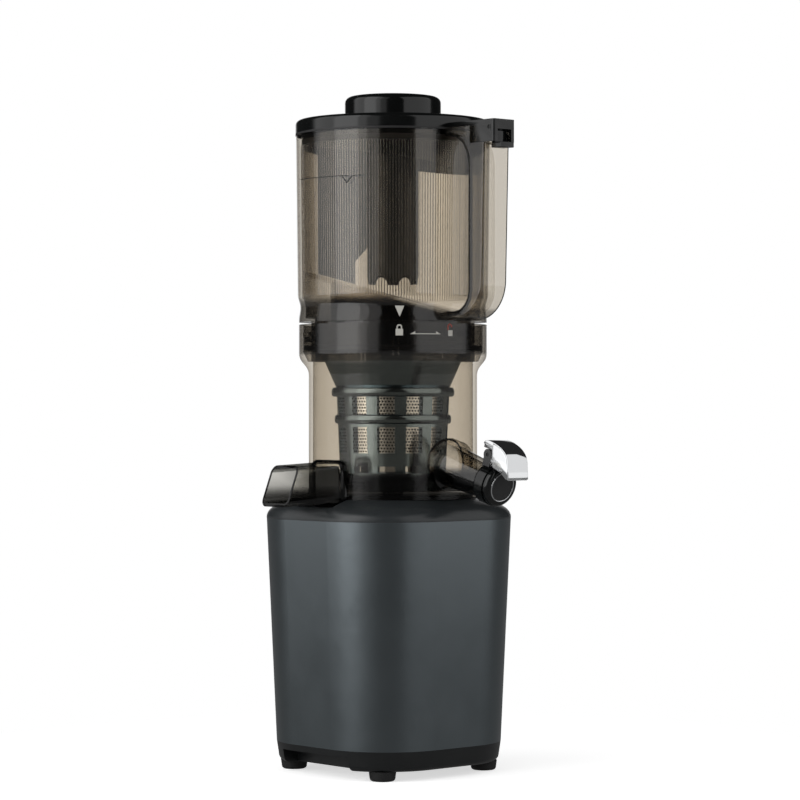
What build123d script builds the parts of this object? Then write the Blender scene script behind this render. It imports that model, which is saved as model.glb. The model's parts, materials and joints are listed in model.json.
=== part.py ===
from build123d import *
import math
import os

# Cold press juicer, in millimetres, +Z up. The juice spout and handle face -Y (the front),
# the pulp spout faces -X. While modelling, X = Y = 0 is the drive axis and Z = 0 the table;
# at the end every part moves so that the origin lies under the middle of the product.

# ---- driving dimensions: motor base
foot_h = 7.5
foot_r = 10.5
foot_edge_r = 2.5
foot_pitch = 74.0  # from the base's centre, along its diagonals
tray_h = 15.5
tray_edge_r = 5.0
sleeve_h = 173.0
dome_h = 16.0
base_back = 5.0  # the base's centre lies this far behind the drive axis
base_bottom_side = 151.0
base_low_side = 156.0
base_top_side = 170.0
base_low_corner = 55.0
base_top_corner = 60.0
base_wall = 3.0
grip_w = 77.0
grip_deep = 18.0
grip_h = 10.5
slot_w = 3.0
seat_boss_h = 2.6
screw_r = 2.0
screw_head_r = 4.2
screw_head_h = 3.0
boss_r = 6.0
boss_h = 40.0
boss_solid = 18.0  # of the boss, above the screw's end
foot_floor_t = 3.0
slot_rim = 4.0  # the air slots end this far inside the fan's rim
slot_len = 18.0

# ---- driving dimensions: electrical parts
dial_r = 19.0
dial_t = 12.0
dial_edge_r = 2.0
dial_z = 112.0
dial_stem_r = 3.0
dial_stem_in = 6.0  # the stem's end, in front of the switch's back
grip_bar_w = 6.4
grip_bar_h = 4.0
grip_bar_in = 2.0  # the bar's ends, inside the dial's rim
grip_bar_edge_r = 1.5
switch_neck_r = 6.0
switch_side = 25.0
switch_deep = 18.0
bezel_w = 3.0
inlet_z = 46.0
inlet_w = 28.0
inlet_h = 20.0
inlet_deep = 20.0
inlet_rim = 4.0  # its flange, above and below the body
inlet_flange_w = 6.0  # and at the sides
inlet_proud = 2.5
socket_w = 22.0
socket_h = 14.0
socket_floor_t = 5.0
blade_pitch = 6.0
blade_t = 1.6
blade_w = 4.0
blade_back = 4.0  # the blades' tips, inside the wall's face
board_w = 62.0
board_h = 52.0
board_t = 1.6
board_y = 79.0  # the board's rear face, behind the drive axis
board_z = 62.0
standoff_r = 3.0
standoff_in = 5.0  # from the board's edges
relay_w = 20.0
relay_h = 14.0
relay_t = 14.0
sink_w = 18.0
sink_h = 26.0
sink_t = 9.0
chip_in = 4.0  # relay and heat sink, from the board's middle
chip_low = 8.0  # and from its lower edge
capacitor_r = 5.0
capacitor_len = 12.0
capacitor_up = 38.0

# ---- driving dimensions: motor and gears
gear_module = 1.0
pinion_teeth = 12
wheel_teeth = 48
gear_t = 9.0
motor_r = 42.0
motor_h = 64.0
motor_wall = 2.5
motor_z = 35.0  # underside of the motor
stand_rim = 8.0  # the stand's plate, beyond the motor
leg_r = 4.5
can_window_w = 10.0
can_window_h = 8.0
winding_low = 6.0  # the windings' ends, from the motor's ends
core_low = 16.0  # the stator's core, from the motor's ends
rotor_low = 15.0
core_slot_w = 4.0
rotor_r = 23.0
motor_shaft_r = 4.0
shaft_lift = 1.5  # the shaft's lower end, above the tray
fan_r = 31.0
fan_h = 10.0
fan_lift = 2.0
fan_hub_r = 9.0
fan_blade_t = 1.6
fan_rim_w = 1.5
gear_plate_t = 4.0
gearbox_r = 60.0
gearbox_h = 48.0
gearbox_wall = 3.0
gearbox_roof_t = 4.0
gear_lift = 4.0  # the lower gears, above the plate
gear_gap = 3.0  # between the two gear stages
output_shaft_r = 8.0
counter_shaft_r = 3.0
bearing_r = 16.0
bearing_h = 10.0
coupler_r = 11.0
coupler_socket_h = 22.0
hex_across = 10.0
seal_r = 15.0
post_r = 5.5
post_screw_h = 16.0

# ---- driving dimensions: juicing bowl
drum_r = 65.6
drum_h = 95.0
neck_h = 18.0
collar_r = 73.3
collar_h = 21.5
bowl_wall = 3.2
floor_lift = 3.0  # the floor's underside, above the bowl's bottom edge
floor_t = 3.0
hub_tube_r = 12.0
hub_bore_r = 8.0
hub_tube_h = 11.0
lug_angles = [30.0, 150.0, 270.0]
lug_rise = 8.0  # the hopper's lugs, above the bottom of the collar
lug_t = 3.5
lug_span = 20.0
lug_bite = 3.6

# ---- driving dimensions: juice spout, cap and lever
spout_slope = 15.5
spout_start = 60.0  # distance of the tube's inner end from the drive axis
cap_back = 108.0  # distance of the cap's back from the drive axis
cap_rise = 15.0  # height of the cap's centre there, above the bowl's bottom edge
spout_root_r = 17.0
spout_tip_r = 13.6
spout_wall = 2.4
spout_flange_w = 2.6
spout_flange_t = 9.0
nozzle_step = 0.6
cap_r = 16.2
cap_t = 10.5
cap_floor_t = 2.5
cap_edge_r = 2.5
ring_t = 2.4
ring_w = 1.6
gate_r = 15.7
gate_t = 4.4
gate_seal_t = 1.2
inset_r = 10.4
inset_t = 0.6
lever_w = 19.0
lever_t = 3.0
lever_reach = 26.5  # the lever's front, from the cap's back
lever_lip = 5.0
lever_drop = 12.2  # the finger lip's end, below the pivot
pivot_s = 3.5  # pivot: along the spout's axis, from the cap's back
pivot_n = 22.0  # pivot: above the spout's axis
pin_r = 1.5
ear_r = 4.2
knuckle_w = 9.0

# ---- driving dimensions: pulp spout
pulp_w = 32.5
pulp_wall = 2.4
pulp_top_reach = 107.5
pulp_lip_reach = 119.5
pulp_drop = 4.5  # the lip's underside, below the bowl's bottom edge
pulp_h = 31.0
pulp_rise = 2.0  # how far the duct tapers, at top and bottom
pulp_edge_r = 6.0
pulp_flange_w = 2.75
pulp_flange_t = 5.5

# ---- driving dimensions: strainer and auger
strainer_top_r = 44.2
strainer_low_r = 41.0
strainer_wall = 3.0
strainer_h = 79.5
skirt_h = 27.0
ring_proud = 1.8
ring_h = 5.5
funnel_r = 55.0
funnel_wall = 2.5
flange_rise = 8.0  # the strainer's flange, above the bowl's floor
flange_t = 6.0
flange_gap = 4.5  # around the flange, for the juice
mesh_t = 0.8
window_count = 12
window_angle = 19.0
window_turn = 11.4  # bearing of the first window
auger_core_r = 21.0
auger_nose_r = 11.0
auger_r = 36.5
auger_lobes = 3
auger_lobe_w = 9.0
auger_twist = 200.0
auger_nose_h = 14.0  # the auger's tip, above the strainer's funnel
wing_t = 6.0

# ---- driving dimensions: hopper and handle
hopper_gap = 2.0
foot_ring_h = 18.5
hopper_h = 128.0
hopper_low_r = 74.2
hopper_top_r = 75.6
hopper_waist_r = 72.2
hopper_wall = 4.0
spigot_r = 64.0
spigot_wall = 3.0
mouth_r = 46.0
floor_plate_t = 3.0
floor_slope = 0.28
handle_in = 100.0
handle_out = 118.0
handle_low_out = 115.3
handle_w = 26.6
handle_edge_r = 2.4
handle_top_t = 6.0
handle_low_t = 6.5
handle_top_r = 22.0
handle_low_r = 16.0
handle_outer_r = 30.0
gasket_h = 3.5

# ---- driving dimensions: lid, feed tube, plunger
lid_overhang = 0.4
lid_h = 10.3
lid_wall = 3.0
lid_edge_r = 3.5
plug_wall = 2.5
plug_high = 11.7  # depth of the plug below the rim on its short side
plug_slope = 0.134
seal_drop = 9.0  # the seal's underside, below the rim
seal_h = 4.0
seal_bite = 0.9
arm_w = 22.0
arm_drop = 7.1  # the arm's top, below the lid's top
arm_wall = 2.0
box_step = 2.5  # the box's inner face, outside the handle's inner face
box_proud = 8.0  # the box's outer face, outside the handle
box_h = 17.0
latch_w = 13.0
latch_t = 2.8
latch_out = 2.6  # the latch's pin, outside the handle
latch_drop = 6.0  # the latch's pin, below the arm's top
latch_knuckle_r = 2.9
latch_hang = 4.3  # the thumb lip, below the arm's box
latch_lip = 3.5
tube_r = 20.0
tube_wall = 2.4
tube_len = 127.0
tube_flange_w = 6.0
scallop_r = 6.0
vane_reach = 58.5
vane_t = 3.0
knob_r = 37.5
knob_h = 18.7
knob_edge_r = 5.0
knob_wall = 2.5

# ---- clearances
run = 0.05  # a shaft in its bore
slip = 0.3  # neighbours that move past each other
fit = 0.5  # loose seats
plug_gap = 0.8  # around the lid's plug
pulp_gap = 1.3  # around the pulp spout where the dome makes room for it
air_gap = 0.6  # between rotor and stator
stack_gap = 2.0  # between the strainer's funnel and the hopper's mouth
hook_gap = 0.5  # between the latch and the handle

# ---- sizes and levels that follow
UP = (Align.CENTER, Align.CENTER, Align.MIN)
tray_z = foot_h
stand_z = tray_z + base_wall
sleeve_z = tray_z + tray_h
seam_z = sleeve_z + sleeve_h
seat_z = seam_z + dome_h
plate_z = motor_z + motor_h + gear_plate_t
gearbox_z = plate_z + gearbox_h
roof_z = gearbox_z - gearbox_roof_t
gear_z1 = plate_z + gear_lift
gear_z2 = gear_z1 + gear_t + gear_gap
bearing_z = gearbox_z + bearing_h
lug_reach = gearbox_r + post_r + 1.0
stator_r = motor_r - motor_wall
centre_gap = gear_module * (pinion_teeth + wheel_teeth) / 2
half_pitch = 180.0 / wheel_teeth
drum_in = drum_r - bowl_wall
collar_in = collar_r - bowl_wall
floor_z = seat_z + floor_lift + floor_t
neck_z = seat_z + drum_h
collar_z = neck_z + neck_h
collar_top = collar_z + collar_h
ledge_z = collar_z - 7.0
lug_z = collar_z + lug_rise
cap_z = seat_z + cap_rise
nozzle_r = spout_tip_r - nozzle_step
nozzle_len = cap_t - cap_floor_t
gate_s = cap_t + gate_seal_t
hood_n = pivot_n + ear_r + slip  # underside of the lever's hood, above the spout's axis
stem_n = hood_n - 2.2
lip_z = seat_z - pulp_drop
flange_z = floor_z + flange_rise
skirt_z = floor_z + skirt_h
ring_z = floor_z + strainer_h
ring_mid = (skirt_z + ring_z) / 2
funnel_top = collar_z - 3.0
auger_low = floor_z + 0.4
auger_screw_top = ring_z - 1.0
auger_top = funnel_top + auger_nose_h
auger_bore_top = skirt_z + 20.0
hopper_z = collar_top + hopper_gap
ribs_z = hopper_z + foot_ring_h
rim_z = ribs_z + hopper_h
floor_level = ribs_z + 1.5
mouth_low = funnel_top + stack_gap
tall_side = 135.0  # bearing of the hopper floor's high side, from +X
lid_r = hopper_top_r + lid_overhang
lid_top = rim_z + lid_h
box_in = handle_in + box_step
box_out = handle_out + box_proud
latch_in = handle_out + latch_out
arm_top = lid_top - arm_drop
box_z = arm_top - box_h
latch_z = arm_top - latch_drop
waist_z = hopper_z + 11.0
barrel_z = ribs_z + 3.0
# The plug clears the barrel both at its rim and at the plug's own lower end.
plug_end_z = rim_z - plug_high - 2 * plug_slope * hopper_top_r
plug_end_share = (plug_end_z - barrel_z) / (rim_z - barrel_z)
barrel_end_r = hopper_low_r + (hopper_top_r - hopper_low_r) * plug_end_share
plug_r = min(hopper_top_r - plug_gap, barrel_end_r - slip) - hopper_wall
plug_level = rim_z - plug_high - plug_slope * plug_r
seal_z = rim_z - seal_drop
tube_z = lid_top - tube_len
stem_r = tube_r - tube_wall - fit
knob_top = lid_top + knob_h
diagonals = [45.0, 135.0, 225.0, 315.0]


def disc(radius, low, high):
    return Pos(0, 0, low) * Cylinder(radius, high - low, align=UP)


def tube(outer, inner, low, high):
    return disc(outer, low, high) - disc(inner, low, high)


def cone(low_r, high_r, low, high):
    return Pos(0, 0, low) * Cone(low_r, high_r, high - low, align=UP)


def block(x, y, z):
    """A box between pairs of limits."""
    size = (x[1] - x[0], y[1] - y[0], z[1] - z[0])
    return Pos(sum(x) / 2, sum(y) / 2, sum(z) / 2) * Box(*size)


def around(angles, shape):
    return [Rot(0, 0, angle) * shape for angle in angles]


def turned(*edges):
    """A solid of revolution about Z from the edges of its half section, as (radius, height)."""
    return revolve(Plane.XZ * make_face(edges), Axis.Z)


def base_plan(side, corner, height):
    return Pos(0, base_back, height) * RectangleRounded(side, side, corner)


def inset(plans, wall):
    """The same plans, one wall further in."""
    return [(side - 2 * wall, corner - wall, height) for side, corner, height in plans]


def skin(plans, ruled=False):
    return loft([base_plan(*plan) for plan in plans], ruled=ruled)


# ---- motor base: outer shells
sleeve_plans = [
    (base_low_side, base_low_corner, sleeve_z),
    (base_top_side, base_top_corner, seam_z),
]
# Plan sizes up the dome, as shares of the way from the sleeve's edge to the bowl's seat.
dome_steps = [(0.0, 0.0), (0.25, 0.02), (0.5, 0.13), (0.7, 0.34), (0.86, 0.63), (1.0, 1.0)]
seat_side = 2 * drum_r + 1.0
dome_plans = [
    (
        base_top_side + (seat_side - base_top_side) * across,
        base_top_corner + (seat_side / 2 - 0.2 - base_top_corner) * across,
        seam_z + dome_h * up,
    )
    for up, across in dome_steps
]
tray_plans = [
    (base_bottom_side, base_low_corner - 3.0, tray_z),
    (base_low_side, base_low_corner, sleeve_z),
]


def pulp_pocket(grow):
    """Room for the pulp spout's root, sunk into the dome, or that much larger all round."""
    low = lip_z - pulp_gap - grow
    half = pulp_w / 2 + pulp_flange_w + pulp_gap + grow
    return block((-2 * base_top_side, -drum_in + pulp_gap + grow), (-half, half), (low, neck_z))


def make_body_sleeve():
    inside = skin(sleeve_plans)
    shell = inside - skin(inset(sleeve_plans, base_wall))
    top = sleeve_z + boss_h
    column = disc(boss_r, sleeve_z, top)
    web = block((foot_pitch, foot_pitch + 3 * boss_r), (-base_wall / 2, base_wall / 2), (sleeve_z, top))
    bore = disc(screw_r + run, sleeve_z - 1, top + 1)
    bosses = around(diagonals, Pos(foot_pitch, 0, 0) * column + web)
    bores = around(diagonals, Pos(foot_pitch, 0, 0) * bore)
    shell += [(Pos(0, base_back, 0) * boss) & inside for boss in bosses]
    shell -= [Pos(0, base_back, 0) * hole for hole in bores]
    # Standoffs for the control board on the rear wall.
    for x in (-board_w / 2 + standoff_in, board_w / 2 - standoff_in):
        for z in (board_z + standoff_in, board_z + board_h - standoff_in):
            pin = Rot(-90, 0, 0) * Cylinder(standoff_r, base_top_side / 2, align=UP)
            pin = Pos(x, board_y, z) * pin
            shell += pin & inside
    # Openings for the switch's neck and the power inlet.
    neck = disc(switch_neck_r + run, base_low_side / 2 - 2 * base_wall, base_top_side)
    shell -= on_right_wall(neck)
    half = inlet_w / 2 + run
    tall = inlet_h / 2 + run
    shell -= block((-half, half), (base_low_side / 3, base_top_side), (inlet_z - tall, inlet_z + tall))
    return shell


def make_top_shell():
    room = (-base_top_side, base_top_side)
    cover = skin(dome_plans) & block(room, room, (seam_z, seat_z))
    cover += disc(drum_in - fit, seat_z, seat_z + seat_boss_h)
    cover -= pulp_pocket(0)
    low = [(side, corner, z - base_wall * (z - seam_z) / dome_h) for side, corner, z in dome_plans]
    hollow = skin(inset(low, base_wall)) - pulp_pocket(base_wall)
    cover -= hollow
    post = disc(post_r, gearbox_z, seat_z - base_wall)
    bore = disc(screw_r + run, gearbox_z - 1, gearbox_z + post_screw_h + 2)
    cover += around(diagonals, Pos(lug_reach, 0, 0) * post)
    cover -= around(diagonals, Pos(lug_reach, 0, 0) * bore)
    return cover - disc(seal_r, seam_z, floor_z)


def make_bottom_tray():
    outer = skin(tray_plans)
    outer = fillet(outer.edges().group_by(Axis.Z)[0], tray_edge_r)
    room = (-base_low_side, base_low_side)
    hollow = skin(inset(tray_plans, base_wall)) & block(room, room, (stand_z, sleeve_z + 1))
    # A recess for the fingers in each side.
    edge = base_low_side / 2
    for side in (-1, 1):
        span = sorted((side * (edge + 5), side * (edge - grip_deep)))
        wide = sorted((side * (edge + 5), side * (edge - grip_deep - base_wall)))
        half = grip_w / 2
        ends = (base_back - half, base_back + half)
        more = (base_back - half - base_wall, base_back + half + base_wall)
        outer -= block(span, ends, (tray_z - 1, tray_z + grip_h))
        hollow -= block(wide, more, (tray_z - 1, sleeve_z + 2))
    tray = outer - hollow
    hole = Pos(foot_pitch, 0, 0) * disc(screw_r + run, 0, sleeve_z)
    seat = Pos(foot_pitch, 0, 0) * disc(boss_r, tray_z, sleeve_z)
    tray += [Pos(0, base_back, 0) * item for item in around(diagonals, seat)]
    tray -= [Pos(0, base_back, 0) * item for item in around(diagonals, hole)]
    # Air slots under the fan.
    end = fan_r - slot_rim
    slot = block((-slot_w / 2, slot_w / 2), (end - slot_len, end), (tray_z - 1, stand_z + 1))
    return tray - around(range(0, 360, 20), slot)


def make_foot(angle):
    x = foot_pitch * math.cos(math.radians(angle))
    y = foot_pitch * math.sin(math.radians(angle)) + base_back
    pad = cone(foot_r - 1, foot_r, 0, foot_h)
    pad = fillet(pad.edges().group_by(Axis.Z)[0], foot_edge_r)
    pad -= disc(screw_head_r + slip, -1, foot_h - foot_floor_t)
    pad -= disc(screw_r + run, 0, foot_h + 1)
    return Pos(x, y, 0) * pad


def screw(low, high):
    """Pan head from low upwards, shank up to high."""
    head = disc(screw_head_r, low, low + screw_head_h)
    return head + disc(screw_r, low + screw_head_h, high)


def make_tray_screws():
    low = foot_h - foot_floor_t - screw_head_h
    item = Pos(foot_pitch, 0, 0) * screw(low, sleeve_z + boss_h - boss_solid)
    return [Pos(0, base_back, 0) * one for one in around(diagonals, item)]


# ---- electrical parts
def sleeve_half(height):
    """Half width of the sleeve across its flats at a height."""
    share = (height - sleeve_z) / sleeve_h
    return (base_low_side + (base_top_side - base_low_side) * share) / 2


def make_control_board():
    face = board_y - board_t
    board = block((-board_w / 2, board_w / 2), (face, board_y), (board_z, board_z + board_h))
    # A relay, a heat sink and two capacitors.
    low = board_z + chip_low
    board += block((-chip_in - relay_w, -chip_in), (face - relay_t, face), (low, low + relay_h))
    board += block((chip_in, chip_in + sink_w), (face - sink_t, face), (low, low + sink_h))
    can = Pos(0, face, board_z + capacitor_up) * Rot(90, 0, 0)
    can *= Cylinder(capacitor_r, capacitor_len, align=UP)
    for x in (-chip_in - relay_w + capacitor_r, -chip_in - capacitor_r + 1):
        board += Pos(x, 0, 0) * can
    return board


def make_power_inlet():
    low = inlet_z - inlet_h / 2
    high = inlet_z + inlet_h / 2
    half = inlet_w / 2
    wall = base_back + sleeve_half(low - inlet_rim)
    face = wall + inlet_proud
    body = block((-half, half), (wall - inlet_deep, face), (low, high))
    wide = half + inlet_flange_w
    flange = block((-wide, wide), (wall - inlet_rim, face), (low - inlet_rim, high + inlet_rim))
    body += flange - skin(sleeve_plans)
    tall = (inlet_z - socket_h / 2, inlet_z + socket_h / 2)
    back = wall - inlet_deep + socket_floor_t
    body -= block((-socket_w / 2, socket_w / 2), (back, face + 1), tall)
    blade = block(
        (-blade_t / 2, blade_t / 2),
        (back - 1, wall - blade_back),
        (inlet_z - blade_w / 2, inlet_z + blade_w / 2),
    )
    return body + [Pos(x, 0, 0) * blade for x in (-blade_pitch, 0, blade_pitch)]


def on_right_wall(shape):
    """A part drawn about Z, laid along +X at the dial's height."""
    return Pos(0, base_back, dial_z) * Rot(0, 90, 0) * shape


dial_back = base_top_side / 2 - 0.8
switch_face = sleeve_half(dial_z - switch_side / 2) - base_wall


def make_dial_switch():
    half = switch_side / 2
    body = block((-half, half), (-half, half), (switch_face - switch_deep, switch_face))
    body += disc(switch_neck_r, switch_face - 1, dial_back - fit)
    low = switch_face - switch_deep + dial_stem_in - 2
    return on_right_wall(body - disc(dial_stem_r + run, low, dial_back + 5))


def make_dial_bezel():
    ring = tube(dial_r + bezel_w, switch_neck_r + run, dial_back - 8, dial_back - slip)
    return on_right_wall(ring) - skin(sleeve_plans)


def make_control_dial():
    front = dial_back + dial_t
    knob = disc(dial_r, dial_back, front)
    knob = fillet(knob.edges().group_by(Axis.Z)[-1], dial_edge_r)
    half = dial_r - grip_bar_in
    grip = block((-grip_bar_w / 2, grip_bar_w / 2), (-half, half), (front - 1, front + grip_bar_h))
    knob += fillet(grip.edges().group_by(Axis.Z)[-1], grip_bar_edge_r)
    low = switch_face - switch_deep + dial_stem_in
    return on_right_wall(knob + disc(dial_stem_r, low, dial_back + 1))


# ---- motor and gears
def gear(teeth, low, phase):
    """Spur gear with straight-sided teeth, one tooth at the phase angle."""
    pitch_r = gear_module * teeth / 2
    tip = 0.8 * gear_module
    root = 1.15 * gear_module
    thick = math.pi * gear_module / 4 - 0.12
    lean = math.tan(math.radians(20))
    points = []
    for tooth in range(teeth):
        mid = math.radians(phase) + 2 * math.pi * tooth / teeth
        for depth, side in ((-root, -1), (tip, -1), (tip, 1), (-root, 1)):
            radius = pitch_r + depth
            angle = mid + side * (thick - depth * lean) / radius
            points.append((radius * math.cos(angle), radius * math.sin(angle)))
    return Pos(0, 0, low) * extrude(make_face(Polyline(*points, close=True)), gear_t)


def make_motor_stand():
    plate = tube(motor_r + stand_rim, motor_shaft_r + run, motor_z - gear_plate_t, motor_z)
    leg = disc(leg_r, stand_z, motor_z - 1)
    return plate + around(diagonals, Pos(motor_r + stand_rim - leg_r - 0.5, 0, 0) * leg)


def make_motor_can():
    shell = tube(motor_r, stator_r, motor_z, motor_z + motor_h)
    half = can_window_w / 2
    low = motor_z + winding_low
    window = block((stator_r - 3, motor_r + 3), (-half, half), (low, low + can_window_h))
    return shell - around(range(0, 360, 45), window)


def make_motor_stator():
    core = tube(stator_r, rotor_r + air_gap, motor_z + core_low, motor_z + motor_h - core_low)
    half = core_slot_w / 2
    slot = block((rotor_r - 2, stator_r - 4), (-half, half), (motor_z, motor_z + motor_h))
    return core - around(range(0, 360, 30), slot)


def make_stator_windings():
    top = motor_z + motor_h
    low = tube(stator_r - 2, rotor_r + 3, motor_z + winding_low, motor_z + core_low)
    return [low, tube(stator_r - 2, rotor_r + 3, top - core_low, top - winding_low)]


def make_motor_rotor():
    return tube(rotor_r, motor_shaft_r, motor_z + rotor_low, motor_z + motor_h - rotor_low)


def make_motor_shaft():
    shaft = disc(motor_shaft_r, stand_z + shaft_lift, gear_z1 + gear_t)
    return shaft + gear(pinion_teeth, gear_z1, 0)


def make_cooling_fan():
    low = stand_z + fan_lift
    hub = tube(fan_hub_r, motor_shaft_r, low, low + fan_h)
    half = fan_blade_t / 2
    blade = block((fan_hub_r - 1, fan_r), (-half, half), (low, low + fan_h))
    rim = tube(fan_r, fan_r - fan_rim_w, low, low + 2)
    return hub + around(range(0, 360, 40), blade) + rim


def make_gear_plate():
    low = motor_z + motor_h
    plate = tube(gearbox_r, motor_shaft_r + run, low, plate_z)
    return plate - Pos(0, -centre_gap, 0) * disc(counter_shaft_r + run, low - 1, plate_z + 1)


def make_gearbox_housing():
    shell = tube(gearbox_r, gearbox_r - gearbox_wall, plate_z, roof_z) + disc(gearbox_r, roof_z, gearbox_z)
    lug = disc(post_r + 1, roof_z, gearbox_z)
    web = block((gearbox_r - 2, lug_reach), (-post_r, post_r), (roof_z, gearbox_z))
    shell += around(diagonals, Pos(lug_reach, 0, 0) * lug + web)
    shell -= around(diagonals, Pos(lug_reach, 0, 0) * disc(screw_r + run, plate_z, seat_z))
    shell += disc(bearing_r + 4, gearbox_z, bearing_z)
    shell -= disc(bearing_r, gearbox_z, bearing_z + 1)
    shell -= disc(output_shaft_r + 2, roof_z - 1, gearbox_z + 1)
    return shell - Pos(0, -centre_gap, 0) * disc(counter_shaft_r + run, roof_z - 1, gearbox_z - 1)


def make_gearbox_screws():
    item = Pos(lug_reach, 0, 0) * screw(roof_z - screw_head_h, gearbox_z + post_screw_h)
    return around(diagonals, item)


def make_output_bearing():
    ring = tube(bearing_r, output_shaft_r + run, gearbox_z, bearing_z)
    return ring - tube(bearing_r - 2, output_shaft_r + 2, bearing_z - 1, bearing_z + 1)


def make_counter_gear():
    gears = gear(wheel_teeth, gear_z1, half_pitch) + gear(pinion_teeth, gear_z2, 0)
    gears += disc(5.0, gear_z1 + gear_t - 1, gear_z2 + 1)
    return Pos(0, -centre_gap, 0) * (gears - disc(counter_shaft_r, 0, gearbox_z))


def make_counter_shaft():
    return Pos(0, -centre_gap, 0) * disc(counter_shaft_r, motor_z + motor_h + fit, gearbox_z - 1 - fit)


def make_output_gear():
    return gear(wheel_teeth, gear_z2, half_pitch) - disc(output_shaft_r, gear_z2 - 1, gear_z2 + gear_t + 1)


def hexagon(across, low, high):
    return Pos(0, 0, low) * extrude(RegularPolygon(across / 2, 6, major_radius=False), high - low)


def make_drive_shaft():
    shaft = disc(output_shaft_r, gear_z2, bearing_z + 4)
    shaft += disc(coupler_r, bearing_z + 2, seat_z - 1)
    return shaft - hexagon(hex_across + 2 * slip, seat_z - coupler_socket_h, seat_z)


def make_shaft_seal():
    return tube(seal_r, coupler_r + slip, seat_z - 5, seat_z + seat_boss_h)


# ---- juicing bowl
def make_bowl():
    mid = neck_z + neck_h / 2
    section = [
        Line((hub_tube_r, floor_z), (drum_in, floor_z)),
        Line((drum_in, floor_z), (drum_in, ledge_z)),
        Line((drum_in, ledge_z), (spigot_r + 2.5, ledge_z)),
        Line((spigot_r + 2.5, ledge_z), (collar_in, collar_z + 1)),
        Line((collar_in, collar_z + 1), (collar_in, collar_top)),
        Line((collar_in, collar_top), (collar_r, collar_top)),
        Line((collar_r, collar_top), (collar_r, collar_z)),
        Bezier((collar_r, collar_z), (collar_r, mid), (drum_r, mid), (drum_r, neck_z)),
        Line((drum_r, neck_z), (drum_r, seat_z)),
        Line((drum_r, seat_z), (drum_in, seat_z)),
        Line((drum_in, seat_z), (drum_in, seat_z + floor_lift)),
        Line((drum_in, seat_z + floor_lift), (hub_bore_r, seat_z + floor_lift)),
        Line((hub_bore_r, seat_z + floor_lift), (hub_bore_r, floor_z + hub_tube_h)),
        Line((hub_bore_r, floor_z + hub_tube_h), (hub_tube_r, floor_z + hub_tube_h)),
        Line((hub_tube_r, floor_z + hub_tube_h), (hub_tube_r, floor_z)),
    ]
    shell = turned(*section)
    shell += around(lug_angles, lug(collar_in - lug_bite, collar_in + 1, lug_z + lug_t + fit))
    return shell - spout_frame * spout_bore() - pulp_window()


def lug(inner, outer, low):
    """Bayonet lug: a short piece of ring centred on +X."""
    ring = tube(outer, inner, low, low + lug_t)
    half = outer * math.sin(math.radians(lug_span / 2))
    return ring & block((0, outer + 1), (-half, half), (low - 1, low + lug_t + 1))


def make_bowl_seal():
    hex_corner_r = hex_across / math.sqrt(3)
    return tube(hub_bore_r, hex_corner_r + slip, floor_z + hub_tube_h - 5, floor_z + hub_tube_h)


# ---- juice spout
tilt = math.radians(spout_slope)
spout_dir = (0, -math.cos(tilt), -math.sin(tilt))
spout_frame = Plane(origin=(0, -cap_back, cap_z), x_dir=(1, 0, 0), z_dir=spout_dir)
# Side view of the spout: x runs along its axis, y upwards from it.
spout_side = Plane(origin=(0, -cap_back, cap_z), x_dir=spout_dir, z_dir=(-1, 0, 0))
spout_len = (cap_back - spout_start) / math.cos(tilt)
pivot = Location((pivot_s, pivot_n, 0))


def spout_bore():
    reach = spout_len + 6
    root = spout_root_r - spout_wall
    tip = nozzle_r - spout_wall
    bore = Pos(0, 0, -reach) * Cone(root, tip, reach, align=UP)
    return bore + Cylinder(tip, cap_t + 6, align=UP)


def make_juice_spout():
    horn = Pos(0, 0, -spout_len) * Cone(spout_root_r, spout_tip_r, spout_len - 0.4, align=UP)
    horn += Pos(0, 0, -0.5) * Cylinder(nozzle_r, nozzle_len, align=UP)
    horn += Pos(0, 0, -spout_len + 1) * Cylinder(spout_root_r + spout_flange_w, spout_flange_t, align=UP)
    pipe = spout_frame * (horn - spout_bore())
    return pipe - disc(drum_r, seam_z, collar_top)


def make_spout_ring():
    """O-ring in the cap, around the spout's nozzle."""
    ring = tube(nozzle_r + ring_w, nozzle_r, cap_floor_t, cap_floor_t + ring_t)
    return spout_frame * ring


def make_cap_body():
    drum = Cylinder(cap_r, cap_t, align=UP)
    drum = fillet(drum.edges().group_by(Axis.Z)[0], cap_edge_r)
    drum -= disc(nozzle_r + run, 0, nozzle_len)
    drum -= disc(nozzle_r + ring_w, cap_floor_t, cap_floor_t + ring_t)
    drum -= disc(nozzle_r - spout_wall, 0, cap_t + 1)
    body = spout_frame * drum
    # Two ears carry the lever's pin.
    ear = Circle(ear_r).moved(pivot)
    foot = pivot_n - cap_r + cap_floor_t + 2.0
    ear += Pos(0, pivot_n - foot) * Rectangle(pivot_s + ear_r, foot, align=(Align.MIN, Align.MIN))
    both = extrude(spout_side * ear, lever_w / 2 - 0.2, both=True)
    both -= extrude(spout_side * Rectangle(4 * cap_r, 5 * cap_r), knuckle_w / 2 + slip, both=True)
    both -= extrude(spout_side * Circle(pin_r).moved(pivot), lever_w, both=True)
    both -= spout_frame * Cylinder(nozzle_r + ring_w, cap_t, align=UP)
    return body + both


def make_lever_pin():
    return extrude(spout_side * Circle(pin_r).moved(pivot), lever_w / 2 - 0.6, both=True)


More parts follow.
